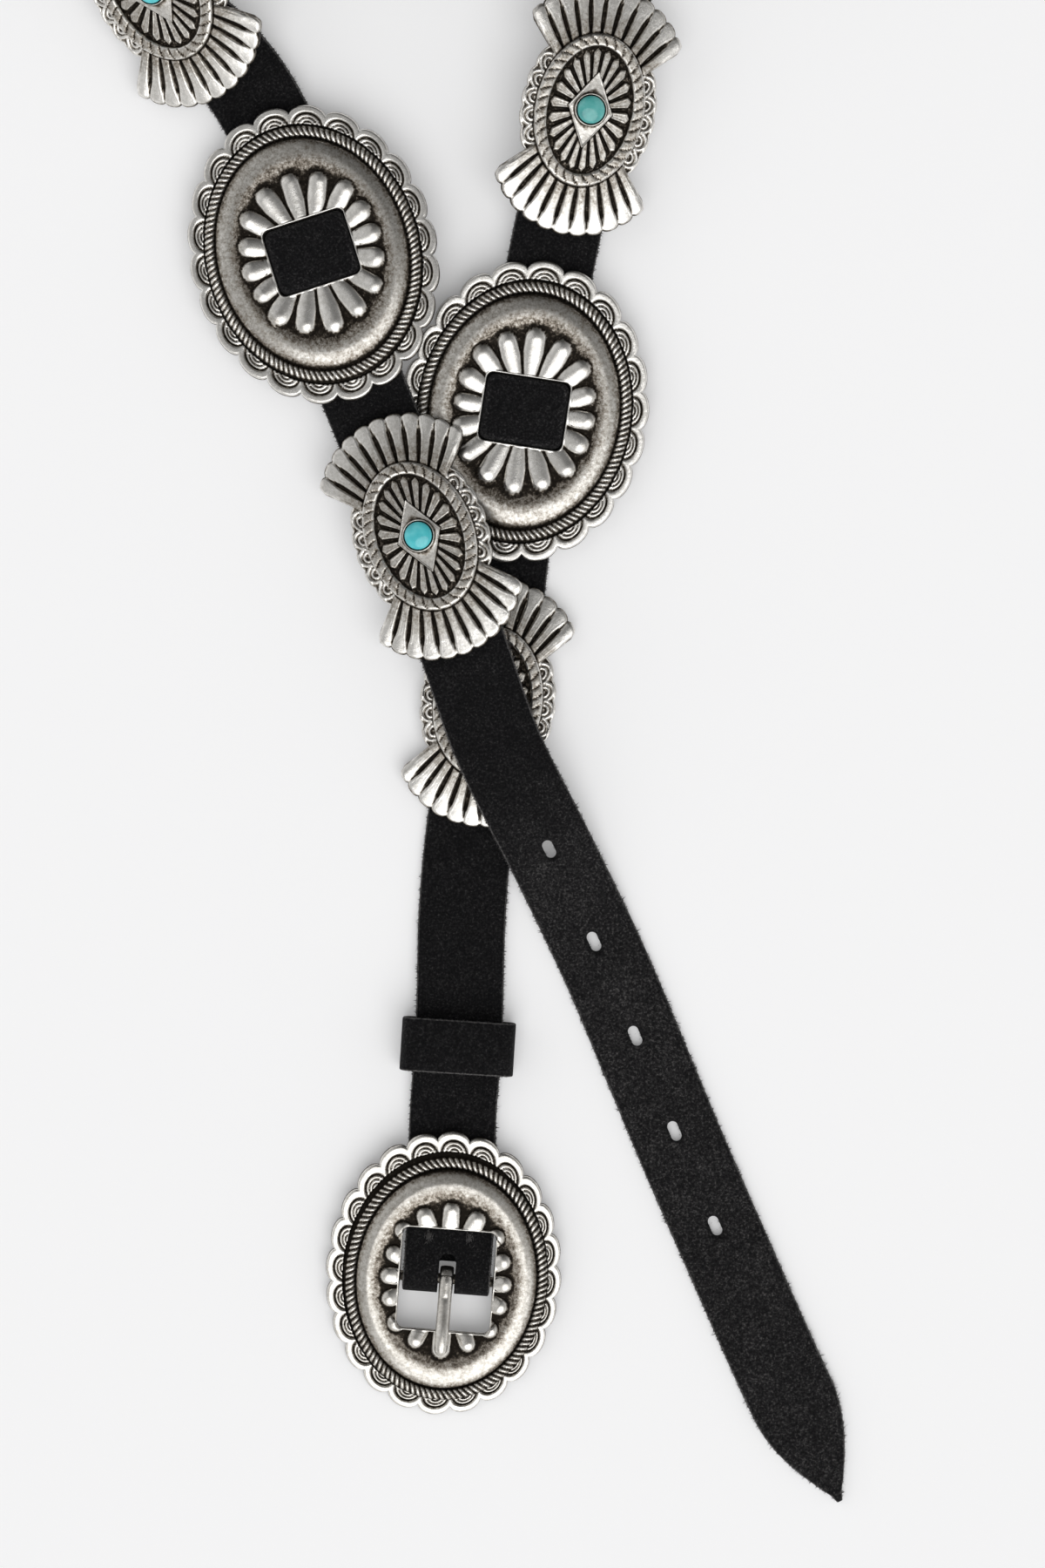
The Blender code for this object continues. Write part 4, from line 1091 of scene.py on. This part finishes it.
def fill(node, values):
    for name, value in values.items():
        node.inputs[name].default_value = value


def node_tree(name):
    material = bpy.data.materials.new(name)
    material.use_nodes = True
    tree = material.node_tree
    return material, tree, tree.nodes["Principled BSDF"]


def noise(tree, scale, detail, rough, vector):
    node = tree.nodes.new("ShaderNodeTexNoise")
    fill(node, {"Scale": scale, "Detail": detail, "Roughness": rough})
    tree.links.new(vector, node.inputs["Vector"])
    return node.outputs["Fac"]


def math_node(tree, kind, a, b, clamp=False):
    node = tree.nodes.new("ShaderNodeMath")
    node.operation = kind
    node.use_clamp = clamp
    for socket, value in zip(node.inputs, (a, b)):
        if isinstance(value, (int, float)):
            socket.default_value = value
        else:
            tree.links.new(value, socket)
    return node.outputs[0]


def times(tree, a, b):
    return math_node(tree, "MULTIPLY", a, b)


def plus(tree, a, b, clamp=False):
    return math_node(tree, "ADD", a, b, clamp)


def ramp(tree, factor, stops):
    node = tree.nodes.new("ShaderNodeValToRGB")
    while len(node.color_ramp.elements) < len(stops):
        node.color_ramp.elements.new(0.5)
    for element, (place, colour) in zip(node.color_ramp.elements, stops):
        element.position = place
        element.color = (*colour, 1.0)
    tree.links.new(factor, node.inputs["Fac"])
    return node.outputs["Color"]


def attribute(tree, name):
    node = tree.nodes.new("ShaderNodeAttribute")
    node.attribute_name = name
    return node.outputs["Fac"]


def object_vector(tree):
    return tree.nodes.new("ShaderNodeTexCoord").outputs["Object"]


def bump(tree, height, distance, strength, normal=None):
    node = tree.nodes.new("ShaderNodeBump")
    fill(node, {"Distance": distance, "Strength": strength})
    tree.links.new(height, node.inputs["Height"])
    if normal is not None:
        tree.links.new(normal, node.inputs["Normal"])
    return node.outputs["Normal"]


def grey(value):
    return (value, value, value)


def silver_material(name, light, contrast):
    """Cast silver, darkened where the value for patina and painted shade is high, with a stippled border
    between the two.
    """
    material, tree, shader = node_tree(name)
    where = object_vector(tree)
    tarnish_and_shade = attribute(tree, "tarnish_and_shade")
    mottle = noise(tree, 300.0, 4.0, 0.6, where)
    grain = noise(tree, 1000.0, 7.0, 0.85, where)
    cloud = times(tree, plus(tree, mottle, -0.5), 0.32)
    speck = times(tree, plus(tree, grain, -0.5), 2.1)
    speck = times(tree, speck, plus(tree, times(tree, tarnish_and_shade, 1.5), 0.38))
    amount = plus(tree, times(tree, tarnish_and_shade, contrast), plus(tree, cloud, speck))
    amount = plus(tree, amount, 0.12, clamp=True)
    colour = ramp(tree, amount, [
        (0.0, light),
        (0.30, (0.56 * light[0], 0.548 * light[1], 0.525 * light[2])),
        (0.50, (0.25, 0.218, 0.180)),
        (0.68, (0.062, 0.051, 0.040)),
        (1.0, (0.018, 0.015, 0.012)),
    ])
    tree.links.new(colour, shader.inputs["Base Color"])
    rough = ramp(tree, amount, [(0.0, grey(0.24)), (0.35, grey(0.36)), (1.0, grey(0.65))])
    tree.links.new(rough, shader.inputs["Roughness"])
    shader.inputs["Metallic"].default_value = 1.0
    cast = noise(tree, 700.0, 4.0, 0.6, where)
    first = bump(tree, cast, 0.00011, 0.5)
    tree.links.new(bump(tree, grain, 0.00005, 0.5, first), shader.inputs["Normal"])
    return material


def suede_material():
    material, tree, shader = node_tree("suede_black")
    where = object_vector(tree)
    edge = attribute(tree, "edge")
    nap = noise(tree, 1500.0, 6.0, 0.75, where)
    patch = noise(tree, 130.0, 3.0, 0.6, where)
    both = plus(tree, times(tree, nap, 0.90), times(tree, patch, 0.10))
    # the edge value lightens cut edges, the rubbed tail, loose fibres and threads, and is painted sheen on
    # the window bulges' flanks
    wear_and_sheen = plus(tree, both, times(tree, edge, 0.20), clamp=True)
    colour = ramp(tree, wear_and_sheen, [
        (0.36, (0.0022, 0.0022, 0.0026)),
        (0.50, (0.0060, 0.0058, 0.0064)),
        (0.61, (0.0220, 0.0212, 0.0218)),
        (0.76, (0.1200, 0.1150, 0.1130)),
    ])
    tree.links.new(colour, shader.inputs["Base Color"])
    fill(shader, {
        "Roughness": 0.95,
        "Specular IOR Level": 0.10,
        "Sheen Weight": 0.05,
        "Sheen Roughness": 0.5,
    })
    first = bump(tree, nap, 0.0004, 0.8)
    tree.links.new(bump(tree, patch, 0.0005, 0.4, first), shader.inputs["Normal"])
    return material


def turquoise_material(name, dark, mid, light):
    material, tree, shader = node_tree(name)
    cloud = noise(tree, 260.0, 4.0, 0.55, object_vector(tree))
    colour = ramp(tree, cloud, [(0.30, dark), (0.52, mid), (0.75, light)])
    tree.links.new(colour, shader.inputs["Base Color"])
    fill(shader, {
        "Roughness": 0.22,
        "Coat Weight": 0.7,
        "Coat Roughness": 0.06,
        "Subsurface Weight": 0.12,
        "Subsurface Radius": (0.6, 1.0, 1.0),
        "Subsurface Scale": 0.0012,
    })
    return material


def floor_material():
    material, _, shader = node_tree("floor_pale")
    fill(shader, {
        "Base Color": (0.90, 0.90, 0.905, 1.0),
        "Emission Color": (1.0, 1.0, 1.0, 1.0),
        "Emission Strength": 0.17,
        "Roughness": 0.85,
        "Specular IOR Level": 0.15,
    })
    return material


silver = silver_material("antique_silver", (0.93, 0.91, 0.875), 0.96)
silver_dark = silver_material("antique_silver_dark", (0.90, 0.875, 0.83), 1.12)
suede = suede_material()
turquoise = turquoise_material("turquoise", (0.045, 0.45, 0.51), (0.075, 0.57, 0.62), (0.16, 0.69, 0.73))
turquoise_green = turquoise_material(
    "turquoise_green", (0.055, 0.31, 0.30), (0.085, 0.42, 0.395), (0.17, 0.52, 0.50)
)


# Pieces


def settle(item, body, slot, *nodes):
    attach(item, body)
    if nodes:
        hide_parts(*nodes)
    return item


rows = strap_rows()
strap_item = strap_shell(rows).build("suede_strap", suede, "edge")
buckle_place, bar_at, bar_side, bar_flat = buckle_matrix()
slot_long = 2 * BAR_TOP + SLOT_PAST_BAR + 4.0
arch = np.eye(4)
arch[:3, 0] = bar_side
arch[:3, 1] = bar_flat
arch[:3, 3] = bar_at + bar_flat * (SLOT_PAST_BAR - slot_long / 2)
under = arch.copy()
under[:3, 3] = bar_at + bar_flat * (SLOT_UNDER_BAR - slot_long / 2)
slot_wide = PRONG_WIDE + 2 * PRONG_ROOM
tools = [
    slot_cutter(slot_wide, slot_long, slot_wide, 0.0, BAR_TOP + 6.0, arch, "slot_tool"),
    slot_cutter(slot_wide, slot_long, 0.5, -BAR_TOP - 6.0, 0.5, under, "under_tool"),
]
first_hole = STOP["down_a"] + 0.11 * PITCH
for k in range(HOLE_COUNT):
    hole_at = place_matrix(first_hole + k * HOLE_PITCH, 0.0)
    tools.append(slot_cutter(HOLE_WIDE, HOLE_LONG, HOLE_WIDE, -4.0, 4.0, hole_at, f"hole_tool_{k}"))
cut(strap_item, tools)
settle(strap_item, "belt", "suede", "strap")
fuzz = strap_fuzz(rows)
for k in range(HOLE_COUNT):
    top = place_matrix(first_hole + k * HOLE_PITCH, STRAP_THICK / 2 - 0.2)
    x, y = HOLE_WIDE / 2, HOLE_LONG / 2
    ring = [((x, -y + x, 0), (x, y - x, 0), (-1, 0, 0)), ((-x, -y + x, 0), (-x, y - x, 0), (1, 0, 0))]
    fuzz_on(fuzz, top, ring, 40 + k, 3.5)
keeper_at = place_matrix(STOP["keeper"], STRAP_THICK / 2 + KEEPER_ROOM + KEEPER_WALL / 2)
x, y = KEEPER_WIDE / 2 - 1.5, KEEPER_LONG / 2
fuzz_on(fuzz, keeper_at, [((-x, y, 0), (x, y, 0), (0, 1, 0)), ((-x, -y, 0), (x, -y, 0), (0, -1, 0))], 60, 3.0)
settle(fuzz.build("suede_fuzz", suede, "edge"), "belt", "suede")
settle(keeper_shell().build("suede_keeper", suede, "edge"), "belt", "suede", "keeper")

buckle = window_plate(
    BUCKLE_WIDE, BUCKLE_LONG, BUCKLE_LOBES, BUCKLE_WINDOW_WIDE, BUCKLE_WINDOW_LONG,
    16.6, 20.2, 2.75, -1.0, 1.4, 116, 0.12, 90,
)
add_bar(buckle)
buckle.move(buckle_place)
settle(buckle.build("buckle", silver_dark), "buckle", "antique_silver", "buckle_frame")
tongue = prong_shell()
tongue.move(buckle_place)
settle(tongue.build("buckle_tongue", silver_dark), "tongue", "antique_silver", "prong")

for number, (letter, kind, proud) in enumerate(PLATES):
    at = place_matrix(STOP[f"{kind}_{letter}"], RIM_OVER + proud * PITCH)
    if kind == "oval":
        plate = window_plate(
            OVAL_WIDE, OVAL_LONG, OVAL_LOBES, WINDOW_WIDE, WINDOW_LONG,
            18.0, 21.2, 3.1, 0.0, 0.0, 126, 0.20, 10 * number,
        )
        add_staple(
            plate, STRAP_WIDTH / 2 + OVAL_POST_ROOM, -BRIDGE_ROOM, BRIDGE_WALL - BRIDGE_ROOM,
            DOME_HIGH - 0.7 * PLATE_WALL, OVAL_POST_WIDE, BRIDGE_LONG,
        )
        bulge = window_bulge()
        bulge.move(at)
        settle(bulge.build(f"suede_bulge_{letter}", suede, "edge"), "belt", "suede")
    else:
        plate = wing_plate(10 * number)
        low = WING_SINK - STRAP_THICK / 2 - BRIDGE_ROOM
        add_staple(
            plate, STRAP_WIDTH / 2 + WING_POST_ROOM, low - BRIDGE_WALL, low,
            RIM_OVER + 0.9, WING_POST_WIDE, 0.8 * BRIDGE_LONG,
        )
        gem = stone()
        gem.move(at)
        look = turquoise_green if letter == "b" else turquoise
        settle(gem.build(f"turquoise_{letter}", look), "belt", "turquoise", f"stone_wing_{letter}")
    plate.move(at)
    settle(plate.build(f"concho_{kind}_{letter}", silver), "belt", "antique_silver", f"plate_{kind}_{letter}")


# Floor, light and camera

PHOTO_CENTRE = SHIFT[:2] * MM
CAMERA_HIGH = 1.4
VIEW_LONG = 0.4572


def add_floor():
    size = 40.0
    mesh = bpy.data.meshes.new("floor")
    corners = [(-size, -size), (size, -size), (size, size), (-size, size)]
    mesh.from_pydata([(x, y, -0.00005) for x, y in corners], [], [(0, 1, 2, 3)])
    item = add_object("floor", mesh)
    item.data.materials.append(floor_material())


def add_light(name, direction, angle, power):
    """Soft light from far away: it comes from the direction, spread over the angle in degrees."""
    light = bpy.data.lights.new(name, "SUN")
    light.energy = power
    light.angle = math.radians(angle)
    item = add_object(name, light)
    item.rotation_euler = Vector(direction).to_track_quat("Z", "Y").to_euler()


def add_world():
    world = bpy.data.worlds.new("studio")
    bpy.context.scene.world = world
    world.use_nodes = True
    tree = world.node_tree
    background = tree.nodes["Background"]
    where = tree.nodes.new("ShaderNodeTexCoord").outputs["Generated"]
    split = tree.nodes.new("ShaderNodeSeparateXYZ")
    tree.links.new(where, split.inputs[0])
    stops = [(0.0, grey(0.75)), (0.4, grey(0.52)), (0.75, grey(0.42)), (1.0, grey(0.42))]
    near = plus(tree, times(tree, split.outputs["Y"], -0.55), 0.60)
    aside = times(tree, split.outputs["X"], split.outputs["X"])
    tree.links.new(ramp(tree, split.outputs["Z"], stops), background.inputs["Color"])
    tree.links.new(plus(tree, near, times(tree, aside, 0.65)), background.inputs["Strength"])


def add_camera():
    camera = bpy.data.cameras.new("camera")
    item = add_object("camera", camera)
    item.location = (PHOTO_CENTRE[0], PHOTO_CENTRE[1], CAMERA_HIGH)
    camera.sensor_width = 36.0
    camera.lens = camera.sensor_width * CAMERA_HIGH / VIEW_LONG
    camera.clip_end = 200.0
    bpy.context.scene.camera = item


add_floor()
add_world()
add_light("key", (0.12, -0.54, 0.85), 64.0, 1.52)
add_light("fill", (-0.7, 0.5, 0.7), 60.0, 0.25)
add_camera()
bpy.context.scene.view_settings.view_transform = "Standard"
